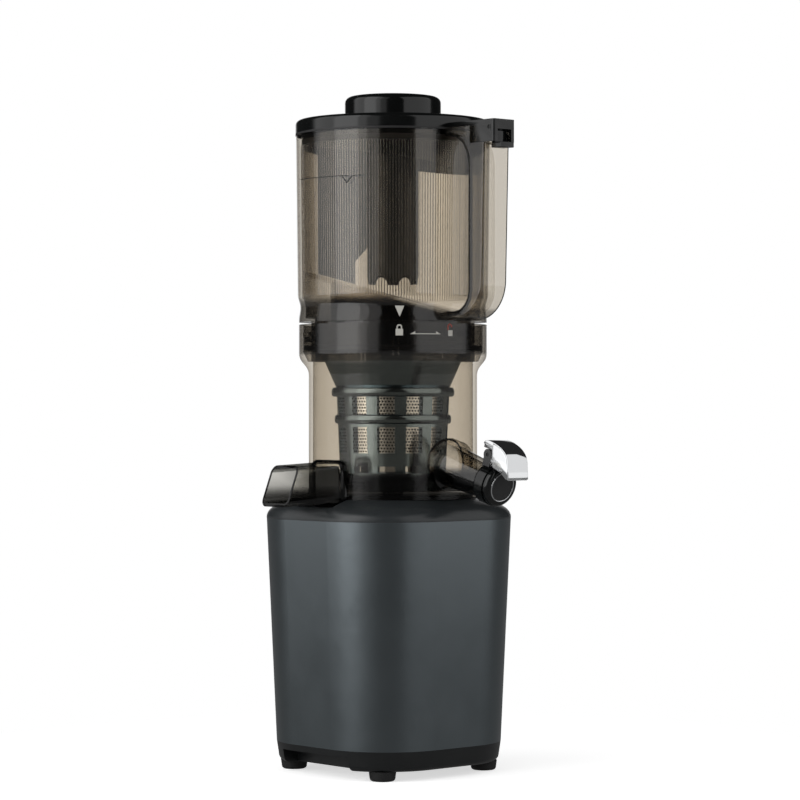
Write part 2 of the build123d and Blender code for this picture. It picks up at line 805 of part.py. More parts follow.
def make_cap_lever():
    roof = hood_n + lever_t
    front = lever_reach
    foot_s = front + lever_lip
    foot_n = pivot_n - lever_drop
    tail = pivot_s - 5
    edge = [
        (tail, roof),
        (front - 6, roof),
        (front, roof - 5.5),
        (foot_s, foot_n),
        (foot_s - 2.8, foot_n - 0.6),
        (front - 1.6, pivot_n - 5.0),
        (front - 5.5, pivot_n + 0.2),
        (cap_t + 6.5, stem_n),
        (cap_t - 0.5, stem_n),
        (cap_t - 0.5, hood_n),
        (tail, hood_n),
    ]
    side = make_face(Polyline(*edge, close=True))
    bends = [v for v in side.vertices() if v.X in (front - 6, front) and v.Y > foot_n + 8]
    hood = extrude(spout_side * fillet(bends, 3.5), lever_w / 2, both=True)
    knuckle_r = ear_r - slip
    knuckle = Circle(knuckle_r)
    knuckle += Rectangle(2 * knuckle_r - 1.0, hood_n - pivot_n + 1, align=(Align.CENTER, Align.MIN))
    hood += extrude(spout_side * knuckle.moved(pivot), knuckle_w / 2, both=True)
    return hood - extrude(spout_side * Circle(pin_r + run).moved(pivot), lever_w, both=True)


def make_cap_gate():
    face = gate_s + gate_t
    plug = disc(gate_r, gate_s, face)
    plug = fillet(plug.edges().group_by(Axis.Z)[-1], 3.0)
    plug -= disc(inset_r + 0.2, face - inset_t - 0.2, face + 1)
    stem = block((-4, 4), (gate_r - 4, stem_n), (gate_s, face))
    return spout_frame * (plug + stem)


def make_gate_face():
    low = gate_s + gate_t - inset_t - 0.2
    return spout_frame * disc(inset_r, low, low + inset_t)


def make_gate_seal():
    return spout_frame * disc(nozzle_r - 0.4, cap_t, gate_s)


# ---- pulp spout
def pulp_outline(shrink, start, overrun):
    """Side view of the pulp spout, as (distance from the drive axis, height)."""
    low = lip_z + shrink
    top = lip_z + pulp_h - shrink
    lean = (pulp_lip_reach - pulp_top_reach) / pulp_h
    return [
        (start, low + pulp_rise),
        (pulp_lip_reach - lean * shrink + overrun, low),
        (pulp_top_reach + lean * shrink + overrun, top),
        (start, top + pulp_rise),
    ]


def pulp_prism(shrink, start, overrun):
    points = [(-reach, z) for reach, z in pulp_outline(shrink, start, overrun)]
    side = make_face(Polyline(*points, close=True))
    body = extrude(Plane.XZ * side, pulp_w / 2 - shrink, both=True)
    along = body.edges().filter_by(lambda e: abs((e % 0.5).X) > 0.9)
    return fillet(along, pulp_edge_r - shrink)


def pulp_window():
    """The opening through the drum's wall."""
    half = pulp_w / 2 - pulp_wall - 1.0
    return block((-drum_r - 2, -drum_in + 3), (-half, half), (floor_z, lip_z + pulp_h - pulp_wall))


def make_pulp_spout():
    horn = pulp_prism(0, drum_in, 0)
    flange = RectangleRounded(pulp_w + 2 * pulp_flange_w, pulp_h + 5.0, pulp_edge_r + 2)
    middle = lip_z + pulp_h / 2 + 1.2
    root = Plane((-drum_in, 0, middle), x_dir=(0, 1, 0), z_dir=(-1, 0, 0))
    horn += extrude(root * flange, pulp_flange_t)
    horn -= pulp_prism(pulp_wall, drum_in - 4, 6.0)
    return horn - disc(drum_r, seam_z, collar_top)


# ---- strainer
def strainer_radius(height):
    """Outside radius of the strainer's tapered cage."""
    share = (height - flange_z) / (ring_z - flange_z)
    return strainer_low_r + (strainer_top_r - strainer_low_r) * share


def cage(low, high, depth, wall):
    """A layer of the tapered cage, that deep under its outside."""
    low_r = strainer_radius(low) - depth
    high_r = strainer_radius(high) - depth
    return cone(low_r, high_r, low, high) - cone(low_r - wall, high_r - wall, low, high)


def make_strainer_frame():
    frame = cage(floor_z, ring_z, 0, strainer_wall)
    bar = 4.0
    half = strainer_low_r * math.tan(math.radians(window_angle / 2))
    reach = (strainer_low_r - 12, strainer_top_r + 5)
    rows = [
        (flange_z + flange_t + 0.5, skirt_z - 2 * bar),
        (skirt_z + bar / 2, ring_mid - bar),
        (ring_mid + bar, ring_z - ring_h - 0.2),
    ]
    for row in rows:
        window = Rot(0, 0, window_turn) * block(reach, (-half, half), row)
        frame -= around([360 / window_count * i for i in range(window_count)], window)
    inner = strainer_radius(flange_z) - strainer_wall
    frame += tube(drum_in - flange_gap, inner, flange_z, flange_z + flange_t)
    frame += tube(strainer_top_r + ring_proud, strainer_top_r - 1, ring_z - ring_h, ring_z)
    # Pulp leaves through the skirt on the left.
    frame -= block((-strainer_top_r - 2, -20), (-12, 12), (floor_z - 1, flange_z - 0.5))
    inner = strainer_top_r - strainer_wall
    return frame + turned(
        Line((inner, ring_z), (strainer_top_r, ring_z)),
        Line((strainer_top_r, ring_z), (funnel_r, funnel_top)),
        Line((funnel_r, funnel_top), (funnel_r - funnel_wall, funnel_top)),
        Line((funnel_r - funnel_wall, funnel_top), (inner, ring_z + 1.5)),
        Line((inner, ring_z + 1.5), (inner, ring_z)),
    )


def make_strainer_mesh():
    return cage(skirt_z - 3, ring_z, strainer_wall + run, mesh_t)


# ---- auger
def auger_section():
    """Core circle with blunt lobes, the screw's section across its axis."""
    shape = Circle(auger_core_r)
    for i in range(auger_lobes):
        arm = Rectangle(auger_r, auger_lobe_w, align=(Align.MIN, Align.CENTER))
        shape += arm.rotate(Axis.Z, 360 / auger_lobes * i)
    return (shape & Circle(auger_r)).face()


def make_auger():
    high = auger_screw_top - auger_low
    section = Pos(0, 0, auger_low) * auger_section()
    body = Solid.extrude_linear_with_rotation(section, (0, 0, auger_low), (0, 0, high), auger_twist)
    body += disc(auger_r, auger_low, auger_low + 4)
    body += cone(auger_core_r, auger_nose_r, auger_screw_top - 0.5, auger_top)
    # Two wings on the nose push the food down.
    points = [
        (0, auger_screw_top - 6),
        (auger_r - 4, auger_screw_top - 6),
        (auger_r + 3, funnel_top + 2),
        (auger_nose_r + 1, auger_top),
        (0, auger_top),
    ]
    body += extrude(Plane.XZ * make_face(Polyline(*points, close=True)), wing_t / 2, both=True)
    body -= disc(hub_tube_r + 1.5, auger_low - 1, floor_z + hub_tube_h + 1.5)
    return body - hexagon(hex_across, auger_low, auger_bore_top)


def make_auger_shaft():
    return hexagon(hex_across, seat_z - coupler_socket_h + 2, auger_bore_top)


# ---- hopper
def tilted_half_space(level, slope, above):
    """Everything above or below a plane that climbs towards the hopper's tall side."""
    size = 400.0
    tip = math.degrees(math.atan(slope))
    side = size / 2 if above else -size / 2
    solid = Pos(0, 0, side) * Box(size, size, size)
    return Pos(0, 0, level) * Rot(0, 0, tall_side) * Rot(0, -tip, 0) * solid


def hopper_outside():
    """Half section of the hopper's outer face, from its foot to its rim."""
    foot = (collar_r, hopper_z)
    waist = (hopper_waist_r, waist_z)
    barrel = (hopper_low_r, barrel_z)
    return [
        Bezier(foot, (collar_r, waist_z - 5), (hopper_waist_r, waist_z - 4), waist),
        Bezier(waist, (hopper_waist_r, waist_z + 5), (hopper_low_r, barrel_z - 4), barrel),
        Line(barrel, (hopper_top_r, rim_z)),
    ]


def make_hopper_body():
    low_in = hopper_low_r - hopper_wall
    waist_in = hopper_waist_r - hopper_wall
    spigot_in = spigot_r - spigot_wall
    shelf_z = hopper_z + 3.5
    body = turned(
        Line((spigot_r, ledge_z), (spigot_r, hopper_z)),
        Line((spigot_r, hopper_z), (collar_r, hopper_z)),
        *hopper_outside(),
        Line((hopper_top_r, rim_z), (hopper_top_r - hopper_wall, rim_z)),
        Line((hopper_top_r - hopper_wall, rim_z), (low_in, barrel_z)),
        Line((low_in, barrel_z), (waist_in, waist_z)),
        Line((waist_in, waist_z), (waist_in, shelf_z)),
        Line((waist_in, shelf_z), (spigot_in, shelf_z)),
        Line((spigot_in, shelf_z), (spigot_in, ledge_z)),
        Line((spigot_in, ledge_z), (spigot_r, ledge_z)),
    )
    under = tilted_half_space(floor_level, floor_slope, False)
    core = cone(waist_in + 0.5, low_in + 0.5, hopper_z + 3, ribs_z + 30)
    body += core & under & tilted_half_space(floor_level - floor_plate_t, floor_slope, True)
    body += disc(mouth_r + 2.5, mouth_low, rim_z) & under
    body -= disc(mouth_r, ledge_z, rim_z)
    return body + around(lug_angles, lug(spigot_r - 1, collar_in - 2 * slip, lug_z))


def make_hopper_gasket():
    return tube(collar_in - slip, spigot_r, collar_z + 1.5, collar_z + 1.5 + gasket_h)


def make_hopper_handle():
    top_in = rim_z - handle_top_t - 1
    top_out = rim_z - 1
    notch = box_z - slip
    low_in = hopper_z + handle_low_t
    start = hopper_waist_r - 4
    step = box_in - fit
    side = make_face(
        [
            Line((start, hopper_z), (handle_low_out - handle_outer_r, hopper_z)),
            RadiusArc(
                (handle_low_out - handle_outer_r, hopper_z),
                (handle_low_out, hopper_z + handle_outer_r),
                -handle_outer_r,
            ),
            Line((handle_low_out, hopper_z + handle_outer_r), (handle_out, notch)),
            Line((handle_out, notch), (step, notch)),
            Line((step, notch), (step, top_out)),
            Line((step, top_out), (start, top_out)),
            Line((start, top_out), (start, top_in)),
            Line((start, top_in), (handle_in - handle_top_r, top_in)),
            RadiusArc(
                (handle_in - handle_top_r, top_in),
                (handle_in, top_in - handle_top_r),
                handle_top_r,
            ),
            Line((handle_in, top_in - handle_top_r), (handle_in, low_in + handle_low_r)),
            RadiusArc(
                (handle_in, low_in + handle_low_r),
                (handle_in - handle_low_r, low_in),
                handle_low_r,
            ),
            Line((handle_in - handle_low_r, low_in), (start, low_in)),
            Line((start, low_in), (start, hopper_z)),
        ]
    )
    across = Plane(origin=(0, 0, 0), x_dir=(0, -1, 0), z_dir=(-1, 0, 0))
    grip = extrude(across * side, handle_w / 2, both=True)
    rims = [e for e in grip.edges() if abs(abs(e.center().X) - handle_w / 2) < 0.01]
    rims = [e for e in rims if e.center().Z < notch - 1 and e.center().Y < -start - 1]
    inside = turned(
        Line((0, hopper_z - 5), (collar_r, hopper_z - 5)),
        Line((collar_r, hopper_z - 5), (collar_r, hopper_z)),
        *hopper_outside(),
        Line((hopper_top_r, rim_z), (0, rim_z)),
        Line((0, rim_z), (0, hopper_z - 5)),
    )
    return fillet(rims, handle_edge_r) - inside


# ---- lid
def make_lid():
    under = lid_top - lid_wall
    shell = disc(lid_r, rim_z, lid_top)
    shell = fillet(shell.edges().group_by(Axis.Z)[-1], lid_edge_r)
    shell -= tube(lid_r - lid_wall, plug_r, rim_z - 1, under)
    shell -= disc(plug_r - plug_wall, rim_z - 1, under)
    plug = tube(plug_r, plug_r - plug_wall, tube_z, under)
    shell += plug & tilted_half_space(plug_level, plug_slope, True)
    shell -= tube(plug_r + 1, plug_r - seal_bite, seal_z, seal_z + seal_h)
    return shell - disc(tube_r, rim_z - 5, lid_top + 5)


def make_lid_gasket():
    return tube(plug_r + fit - slip, plug_r - seal_bite, seal_z, seal_z + seal_h)


def laid_across(radius, length, y, z):
    """A round bar along X, behind the origin by y."""
    return Pos(0, -y, z) * Rot(0, 90, 0) * Cylinder(radius, length)


def make_lid_arm():
    half = arm_w / 2
    outer = -box_out
    arm = block((-half, half), (-box_in - 1, -lid_r + 6), (rim_z, arm_top))
    case = block((-half, half), (outer, -box_in), (box_z, arm_top))
    case = fillet(case.edges().filter_by(Axis.Z).group_by(Axis.Y)[0], arm_wall)
    inside = half - arm_wall
    case -= block((-inside, inside), (outer + arm_wall, -box_in + arm_wall), (box_z - 1, arm_top - 2.5))
    # Slot in the outer face for the thumb tab.
    slot = latch_w / 2 + fit
    case -= block((-slot, slot), (outer - 1, outer + 2 * arm_wall), (box_z - 1, latch_z - 1.5))
    arm += case
    arm -= disc(lid_r, rim_z - 5, arm_top + 10)
    # Two cheeks carry the latch's pin.
    deep = (-latch_in - 3, -latch_in + 3)
    for side in (-1, 1):
        cheek = sorted((side * inside, side * (inside - arm_wall)))
        arm += block(cheek, deep, (latch_z - 3, arm_top - 2))
    return arm - laid_across(pin_r, arm_w + 2, latch_in, latch_z)


def make_latch_pin():
    return laid_across(pin_r, arm_w - 1, latch_in, latch_z)


def make_lid_latch():
    half = (-latch_w / 2, latch_w / 2)
    low = box_z - latch_hang
    tab = block(half, (-latch_in - latch_t / 2, -latch_in + latch_t / 2), (low, latch_z))
    tab += block(half, (-box_out - latch_lip, -latch_in), (low, box_z - slip))
    tab += block(half, (-latch_in, -handle_out - hook_gap), (low, low + 2.5))
    tab += laid_across(latch_knuckle_r, latch_w, latch_in, latch_z)
    return tab - laid_across(pin_r + run, latch_w + 2, latch_in, latch_z)


def make_feed_tube():
    under = lid_top - lid_wall
    high = under - 2.0
    pipe = tube(tube_r, tube_r - tube_wall, tube_z, lid_top)
    pipe += tube(tube_r + tube_flange_w, tube_r, high, under)
    # The tube's lower edge is scalloped.
    notch = Pos(0, 0, tube_z) * Rot(0, 90, 0) * Cylinder(scallop_r, 2 * tube_r, align=UP)
    pipe -= around(range(18, 360, 60), notch)
    # A vane stands across the hopper on its tall side, with a notch by the tube.
    notch_r = tube_r + 9.6
    floor = floor_level + 1.5
    notch_z = floor_level + floor_slope * vane_reach + 11.0
    fin = make_face(
        Polyline(
            (tube_r - 1, high),
            (vane_reach, high),
            (vane_reach, floor + floor_slope * vane_reach),
            (notch_r, floor + floor_slope * notch_r),
            (notch_r, notch_z),
            (tube_r, notch_z + 11),
            (tube_r - 1, notch_z + 11),
            close=True,
        )
    )
    vane = extrude(Plane(origin=(0, 0, 0), x_dir=(1, 0, 0), z_dir=(0, -1, 0)) * fin, vane_t / 2, both=True)
    return pipe + Rot(0, 0, tall_side) * vane - disc(tube_r - tube_wall, tube_z - 1, lid_top + 1)


def make_plunger_stem():
    low = tube_z + 8
    return disc(stem_r, low, lid_top + 5) - disc(stem_r - 2.5, low - 1, lid_top + 2)


def make_plunger_knob():
    low = lid_top + slip
    knob = disc(knob_r, low, knob_top)
    knob = fillet(knob.edges().group_by(Axis.Z)[-1], knob_edge_r)
    knob -= disc(knob_r - knob_wall, low - 1, knob_top - 6)
    knob += disc(stem_r + 2.5, low, knob_top - 3)
    return knob - disc(stem_r, low - 1, lid_top + 5)


# ---- every part
parts = {
    "body_sleeve": make_body_sleeve(),
    "top_shell": make_top_shell(),
    "bottom_tray": make_bottom_tray(),
    "front_right_foot": make_foot(315),
    "front_left_foot": make_foot(225),
    "rear_left_foot": make_foot(135),
    "rear_right_foot": make_foot(45),
    "tray_screws": make_tray_screws(),
    "control_board": make_control_board(),
    "power_inlet": make_power_inlet(),
    "dial_switch": make_dial_switch(),
    "dial_bezel": make_dial_bezel(),
    "control_dial": make_control_dial(),
    "motor_stand": make_motor_stand(),
    "motor_can": make_motor_can(),
    "motor_stator": make_motor_stator(),
    "stator_windings": make_stator_windings(),
    "motor_rotor": make_motor_rotor(),
    "motor_shaft": make_motor_shaft(),
    "cooling_fan": make_cooling_fan(),
    "gear_plate": make_gear_plate(),
    "gearbox_housing": make_gearbox_housing(),
    "gearbox_screws": make_gearbox_screws(),
    "output_bearing": make_output_bearing(),
    "counter_gear": make_counter_gear(),
    "counter_shaft": make_counter_shaft(),
    "output_gear": make_output_gear(),
    "drive_shaft": make_drive_shaft(),
    "shaft_seal": make_shaft_seal(),
    "bowl": make_bowl(),
    "bowl_seal": make_bowl_seal(),
    "juice_spout": make_juice_spout(),
    "spout_ring": make_spout_ring(),
    "cap_body": make_cap_body(),
    "lever_pin": make_lever_pin(),
    "cap_lever": make_cap_lever(),
    "cap_gate": make_cap_gate(),
    "gate_face": make_gate_face(),
    "gate_seal": make_gate_seal(),
    "pulp_spout": make_pulp_spout(),
    "strainer_frame": make_strainer_frame(),
    "strainer_mesh": make_strainer_mesh(),
    "auger": make_auger(),
    "auger_shaft": make_auger_shaft(),
    "hopper_body": make_hopper_body(),
    "hopper_gasket": make_hopper_gasket(),
    "hopper_handle": make_hopper_handle(),
    "lid": make_lid(),
    "lid_gasket": make_lid_gasket(),
    "lid_arm": make_lid_arm(),
    "latch_pin": make_latch_pin(),
    "lid_latch": make_lid_latch(),
    "feed_tube": make_feed_tube(),
    "plunger_stem": make_plunger_stem(),
    "plunger_knob": make_plunger_knob(),
}

for name, shape in parts.items():
    if isinstance(shape, list):
        parts[name] = Compound(shape)
boxes = [shape.bounding_box() for shape in parts.values()]
middle_x = (min(box.min.X for box in boxes) + max(box.max.X for box in boxes)) / 2
middle_y = (min(box.min.Y for box in boxes) + max(box.max.Y for box in boxes)) / 2
home = Pos(-middle_x, -middle_y, 0)

os.makedirs("parts", exist_ok=True)
for name, shape in parts.items():
    export_step(home * shape, f"parts/{name}.step")
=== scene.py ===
import json
import math

import bmesh
import bpy
from mathutils import Matrix, Vector
from mathutils.bvhtree import BVHTree


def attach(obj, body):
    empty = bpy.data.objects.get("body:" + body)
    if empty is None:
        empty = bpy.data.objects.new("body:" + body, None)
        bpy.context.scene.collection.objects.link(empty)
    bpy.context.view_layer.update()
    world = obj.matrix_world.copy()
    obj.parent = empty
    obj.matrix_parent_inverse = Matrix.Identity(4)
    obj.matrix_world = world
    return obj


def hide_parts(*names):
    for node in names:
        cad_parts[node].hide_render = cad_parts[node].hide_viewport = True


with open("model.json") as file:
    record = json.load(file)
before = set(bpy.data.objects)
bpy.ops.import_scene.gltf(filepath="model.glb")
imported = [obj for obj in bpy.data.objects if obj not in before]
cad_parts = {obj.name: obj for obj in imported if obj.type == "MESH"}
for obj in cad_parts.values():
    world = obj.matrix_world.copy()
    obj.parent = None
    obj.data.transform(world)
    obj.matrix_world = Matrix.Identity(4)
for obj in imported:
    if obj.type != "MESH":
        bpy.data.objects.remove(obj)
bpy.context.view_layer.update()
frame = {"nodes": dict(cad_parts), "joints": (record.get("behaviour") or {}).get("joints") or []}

scene = bpy.context.scene
nodes = frame["nodes"]
mm = 0.001

# new pieces are measured from the drive axis
augerJoint = [j for j in frame["joints"] if j["name"] == "auger_spin"][0]
axisX, axisY = augerJoint["pos_m"][0], augerJoint["pos_m"][1]
print("frame loaded:", len(nodes), "nodes")


# camera, in metres, its lens and sensor in mm
camera = {
    "bearing": -41.6,  # degrees round the juicer, 0 looks along +Y
    "distance": 2.282,
    "height": 0.288,
    "sideStep": 0.0055,
    "lens": 131.65,
    "sensor": 36,
    "clipEnd": 20,
}
turn = math.radians(camera["bearing"])
towards = Vector((math.sin(turn), -math.cos(turn), 0))  # from the juicer to the camera
sideways = Vector((math.cos(turn), math.sin(turn), 0))  # to the right in the picture
camData = bpy.data.cameras.new("camera")
camData.lens = camera["lens"]
camData.sensor_width = camera["sensor"]
camData.clip_end = camera["clipEnd"]
camObject = bpy.data.objects.new("camera", camData)
scene.collection.objects.link(camObject)
spot = Vector((axisX, axisY, camera["height"])) + towards * camera["distance"]
camObject.location = spot + sideways * camera["sideStep"]
camObject.rotation_euler = (math.radians(90), 0, turn)
scene.camera = camObject


# small helpers for node trees
def addNode(tree, kind, **values):
    node = tree.nodes.new(kind)
    for key, value in values.items():
        if key in node.inputs:
            node.inputs[key].default_value = value
        else:
            setattr(node, key, value)
    return node


def newFinish(name):
    mat = bpy.data.materials.new(name)
    mat.use_nodes = True
    return mat, mat.node_tree, mat.node_tree.nodes["Principled BSDF"]


def feed(tree, socket, value):
    # another node's output is linked, a number is set
    if isinstance(value, bpy.types.NodeSocket):
        tree.links.new(value, socket)
    else:
        socket.default_value = value


def maths(tree, kind, *values):
    node = addNode(tree, "ShaderNodeMath", operation=kind)
    for socket, value in zip(node.inputs, values):
        feed(tree, socket, value)
    return node.outputs[0]


def grain(tree, size, stretch=(1, 1, 1), detail=3.0):
    # noise whose grains are that many metres across
    coords = addNode(tree, "ShaderNodeTexCoord")
    place = addNode(tree, "ShaderNodeMapping")
    place.inputs["Scale"].default_value = [s / size for s in stretch]
    noise = addNode(tree, "ShaderNodeTexNoise", Scale=1.0, Detail=detail)
    tree.links.new(coords.outputs["Object"], place.inputs["Vector"])
    tree.links.new(place.outputs["Vector"], noise.inputs["Vector"])
    return noise.outputs["Fac"]


def fromAxis(tree):
    # coordinates that start at the drive axis
    coords = addNode(tree, "ShaderNodeTexCoord")
    place = addNode(tree, "ShaderNodeMapping")
    place.inputs["Location"].default_value = (-axisX, -axisY, 0)
    tree.links.new(coords.outputs["Object"], place.inputs["Vector"])
    return place.outputs["Vector"]


def spread(tree, source, low, high, fromLow=0.3, fromHigh=0.7, kind="LINEAR"):
    ramp = addNode(tree, "ShaderNodeMapRange", interpolation_type=kind)
    ramp.inputs["From Min"].default_value = fromLow
    ramp.inputs["From Max"].default_value = fromHigh
    ramp.inputs["To Min"].default_value = low
    ramp.inputs["To Max"].default_value = high
    tree.links.new(source, ramp.inputs["Value"])
    return ramp.outputs["Result"]


def bump(tree, shader, source, depth, strength):
    relief = addNode(tree, "ShaderNodeBump", Strength=strength, Distance=depth)
    tree.links.new(source, relief.inputs["Height"])
    tree.links.new(relief.outputs["Normal"], shader.inputs["Normal"])


def blendColours(tree, source, first, second):
    mix = addNode(tree, "ShaderNodeMix", data_type="RGBA")
    for socket in mix.inputs:
        if socket.type == "RGBA":
            socket.default_value = (*(first if socket.name == "A" else second), 1)
    tree.links.new(source, mix.inputs["Factor"])
    return [s for s in mix.outputs if s.type == "RGBA"][0]


def tint(tree, shader, source, dark, light):
    tree.links.new(blendColours(tree, source, dark, light), shader.inputs["Base Color"])


def mixShaders(tree, share, first, second):
    blend = addNode(tree, "ShaderNodeMixShader")
    for socket, source in zip(blend.inputs, (share, first, second)):
        tree.links.new(source, socket)
    return blend.outputs[0]


def mixNumbers(tree, share, first, second):
    mix = addNode(tree, "ShaderNodeMix", data_type="FLOAT")
    for index, value in ((0, share), (2, first), (3, second)):
        feed(tree, mix.inputs[index], value)
    return mix.outputs[0]


# what a moulded finish has where its look says nothing else; blotch, fine and depth are in metres
mouldedBase = {"metal": 0.0, "stretch": (1, 1, 1), "blotch": 0.03, "fine": 0.0006, "depth": 0.00002,
               "relief": 0.25}


def moulded(name, look):
    # opaque plastic, rubber or metal with a fine grain over soft blotches
    look = {**mouldedBase, **look}
    mat, tree, shader = newFinish(name)
    shader.inputs["Metallic"].default_value = look["metal"]
    blotches = grain(tree, look["blotch"], look["stretch"])
    fine = grain(tree, look["fine"], look["stretch"], 2.0)
    tint(tree, shader, blotches, look["dark"], look["light"])
    tree.links.new(spread(tree, blotches, *look["rough"]), shader.inputs["Roughness"])
    bump(tree, shader, fine, look["depth"], look["relief"])
    return mat


# colour and roughness each range between two values over the blotches
looks = {
    "baseGrey": {"dark": (0.172, 0.197, 0.21), "light": (0.188, 0.214, 0.228), "metal": 1.0,
                 "rough": (0.285, 0.335), "fine": 0.0013, "depth": 0.00001, "relief": 0.12},
    "glossBlack": {"dark": (0.003, 0.0034, 0.0034), "light": (0.0045, 0.005, 0.005),
                   "rough": (0.11, 0.17), "relief": 0.05},
    "domeBlack": {"dark": (0.023, 0.0265, 0.0285), "light": (0.028, 0.032, 0.034),
                  "rough": (0.285, 0.35), "fine": 0.0012, "relief": 0.15},
    "satinBlack": {"dark": (0.006, 0.007, 0.0075), "light": (0.009, 0.01, 0.0105),
                   "rough": (0.3, 0.42), "fine": 0.0005, "relief": 0.35},
    "darkPin": {"dark": (0.03, 0.03, 0.03), "light": (0.05, 0.05, 0.05), "metal": 1.0,
                "rough": (0.3, 0.4)},
    "footRubber": {"dark": (0.008, 0.008, 0.008), "light": (0.013, 0.013, 0.013),
                   "rough": (0.6, 0.78), "relief": 0.5},
    "darkSilicone": {"dark": (0.012, 0.012, 0.012), "light": (0.02, 0.02, 0.02),
                     "rough": (0.45, 0.6), "relief": 0.3},
    "greySilicone": {"dark": (0.014, 0.014, 0.014), "light": (0.019, 0.019, 0.02),
                     "rough": (0.4, 0.55), "relief": 0.3},
    "chrome": {"dark": (0.76, 0.77, 0.78), "light": (0.82, 0.83, 0.84), "metal": 1.0,
               "rough": (0.04, 0.09), "relief": 0.03},
    "steel": {"dark": (0.48, 0.48, 0.49), "light": (0.58, 0.58, 0.59), "metal": 1.0,
              "rough": (0.22, 0.36), "stretch": (1, 1, 0.08), "relief": 0.2},
    "strainerGrey": {"dark": (0.29, 0.37, 0.43), "light": (0.33, 0.42, 0.48), "metal": 1.0,
                     "rough": (0.15, 0.2), "relief": 0.1},
    "tubeGrey": {"dark": (0.019, 0.021, 0.021), "light": (0.027, 0.029, 0.029),
                 "rough": (0.13, 0.22), "relief": 0.1},
    "augerBlack": {"dark": (0.01, 0.01, 0.011), "light": (0.016, 0.016, 0.017),
                   "rough": (0.25, 0.38), "relief": 0.15},
    "castAluminium": {"dark": (0.5, 0.51, 0.52), "light": (0.62, 0.63, 0.64), "metal": 1.0,
                      "rough": (0.4, 0.55), "relief": 0.5},
    "copperWire": {"dark": (0.45, 0.17, 0.06), "light": (0.6, 0.26, 0.1), "metal": 1.0,
                   "rough": (0.25, 0.4), "stretch": (1, 1, 3), "relief": 0.6, "depth": 0.0001},
    "boardGreen": {"dark": (0.01, 0.05, 0.02), "light": (0.02, 0.09, 0.04),
                   "rough": (0.3, 0.45), "relief": 0.3},
    "nylon": {"dark": (0.6, 0.58, 0.52), "light": (0.68, 0.66, 0.6),
              "rough": (0.35, 0.5), "relief": 0.2},
    "markPrint": {"dark": (0.42, 0.41, 0.37), "light": (0.5, 0.49, 0.45),
                  "rough": (0.45, 0.6), "relief": 0.2},
    "redPrint": {"dark": (0.3, 0.05, 0.04), "light": (0.36, 0.07, 0.05),
                 "rough": (0.45, 0.6), "relief": 0.2},
}
finish = {name: moulded(name, look) for name, look in looks.items()}

# what a clear plastic has where its look says nothing else; wave and waveDepth are in metres, and
# a band reaches its full lean that many mm to the right of the axis
clearBase = {"wave": 0.02, "waveStretch": (1, 1, 0.4), "waveDepth": 0.00004, "waveRelief": 0.4,
             "rough": (0.06, 0.1), "grazingPower": 5.0, "grazingMirror": 0.75, "lean": 0.0,
             "leanReach": 65}


def paintedShadeBands(tree, colour, paintedShadeLevels, lean):
    # painted shade: between two heights the see-through colour is darkened, so less light comes through
    # there;
    # the heights sink to the right by the lean, as the hopper's floor does
    coords = addNode(tree, "ShaderNodeTexCoord")
    split = addNode(tree, "ShaderNodeSeparateXYZ")
    tree.links.new(coords.outputs["Object"], split.inputs[0])
    right = addNode(tree, "ShaderNodeVectorMath", operation="DOT_PRODUCT")
    right.inputs[1].default_value = sideways
    tree.links.new(coords.outputs["Object"], right.inputs[0])
    middle = axisX * sideways.x + axisY * sideways.y
    slide = spread(tree, right.outputs["Value"], 0.0, lean * mm, middle,
                   middle + clearBase["leanReach"] * mm)
    height = maths(tree, "ADD", split.outputs["Z"], slide)
    for low, high, soft, keep in paintedShadeLevels:
        steps = [spread(tree, height, first, last, (edge - soft) * mm, (edge + soft) * mm, "SMOOTHSTEP")
                 for edge, first, last in ((low, 1.0, keep), (high, keep, 1.0))]
        darker = addNode(tree, "ShaderNodeVectorMath", operation="SCALE")
        tree.links.new(colour, darker.inputs[0])
        tree.links.new(maths(tree, "MAXIMUM", *steps), darker.inputs["Scale"])
        colour = darker.outputs[0]
    return colour


def clearPlastic(name, look):
    # smoky clear plastic: see-through, darker where the wall turns away, with polished reflections
    look = {**clearBase, **look}
    mat, tree, shader = newFinish(name)
    tree.nodes.remove(shader)
    facing = addNode(tree, "ShaderNodeLayerWeight", Blend=0.5).outputs["Facing"]
    edge = maths(tree, "POWER", facing, look["edgePower"])
    colour = blendColours(tree, edge, look["flat"], look["edge"])
    # painted shade: the see-through colour is darker between the listed heights
    if "paintedShadeLevels" in look:
        colour = paintedShadeBands(tree, colour, look["paintedShadeLevels"], look["lean"])
    through = addNode(tree, "ShaderNodeBsdfTransparent")
    tree.links.new(colour, through.inputs["Color"])
    gloss = addNode(tree, "ShaderNodeBsdfGlossy")
    gloss.inputs["Color"].default_value = (1, 1, 1, 1)
    wave = grain(tree, look["wave"], look["waveStretch"], 1.0)
    tree.links.new(spread(tree, wave, *look["rough"]), gloss.inputs["Roughness"])
    bump(tree, gloss, wave, look["waveDepth"], look["waveRelief"])
    grazing = maths(tree, "POWER", facing, look["grazingPower"])
    share = spread(tree, grazing, look["mirror"], look["grazingMirror"], 0.0, 1.0)
    # painted shade on reflections: less is mirrored between the listed heights
    if "paintedReflectionShade" in look:
        share = paintedShadeBands(tree, share, look["paintedReflectionShade"], 0.0)
    blend = mixShaders(tree, share, through.outputs[0], gloss.outputs[0])
    tree.links.new(blend, tree.nodes["Material Output"].inputs["Surface"])
    return mat
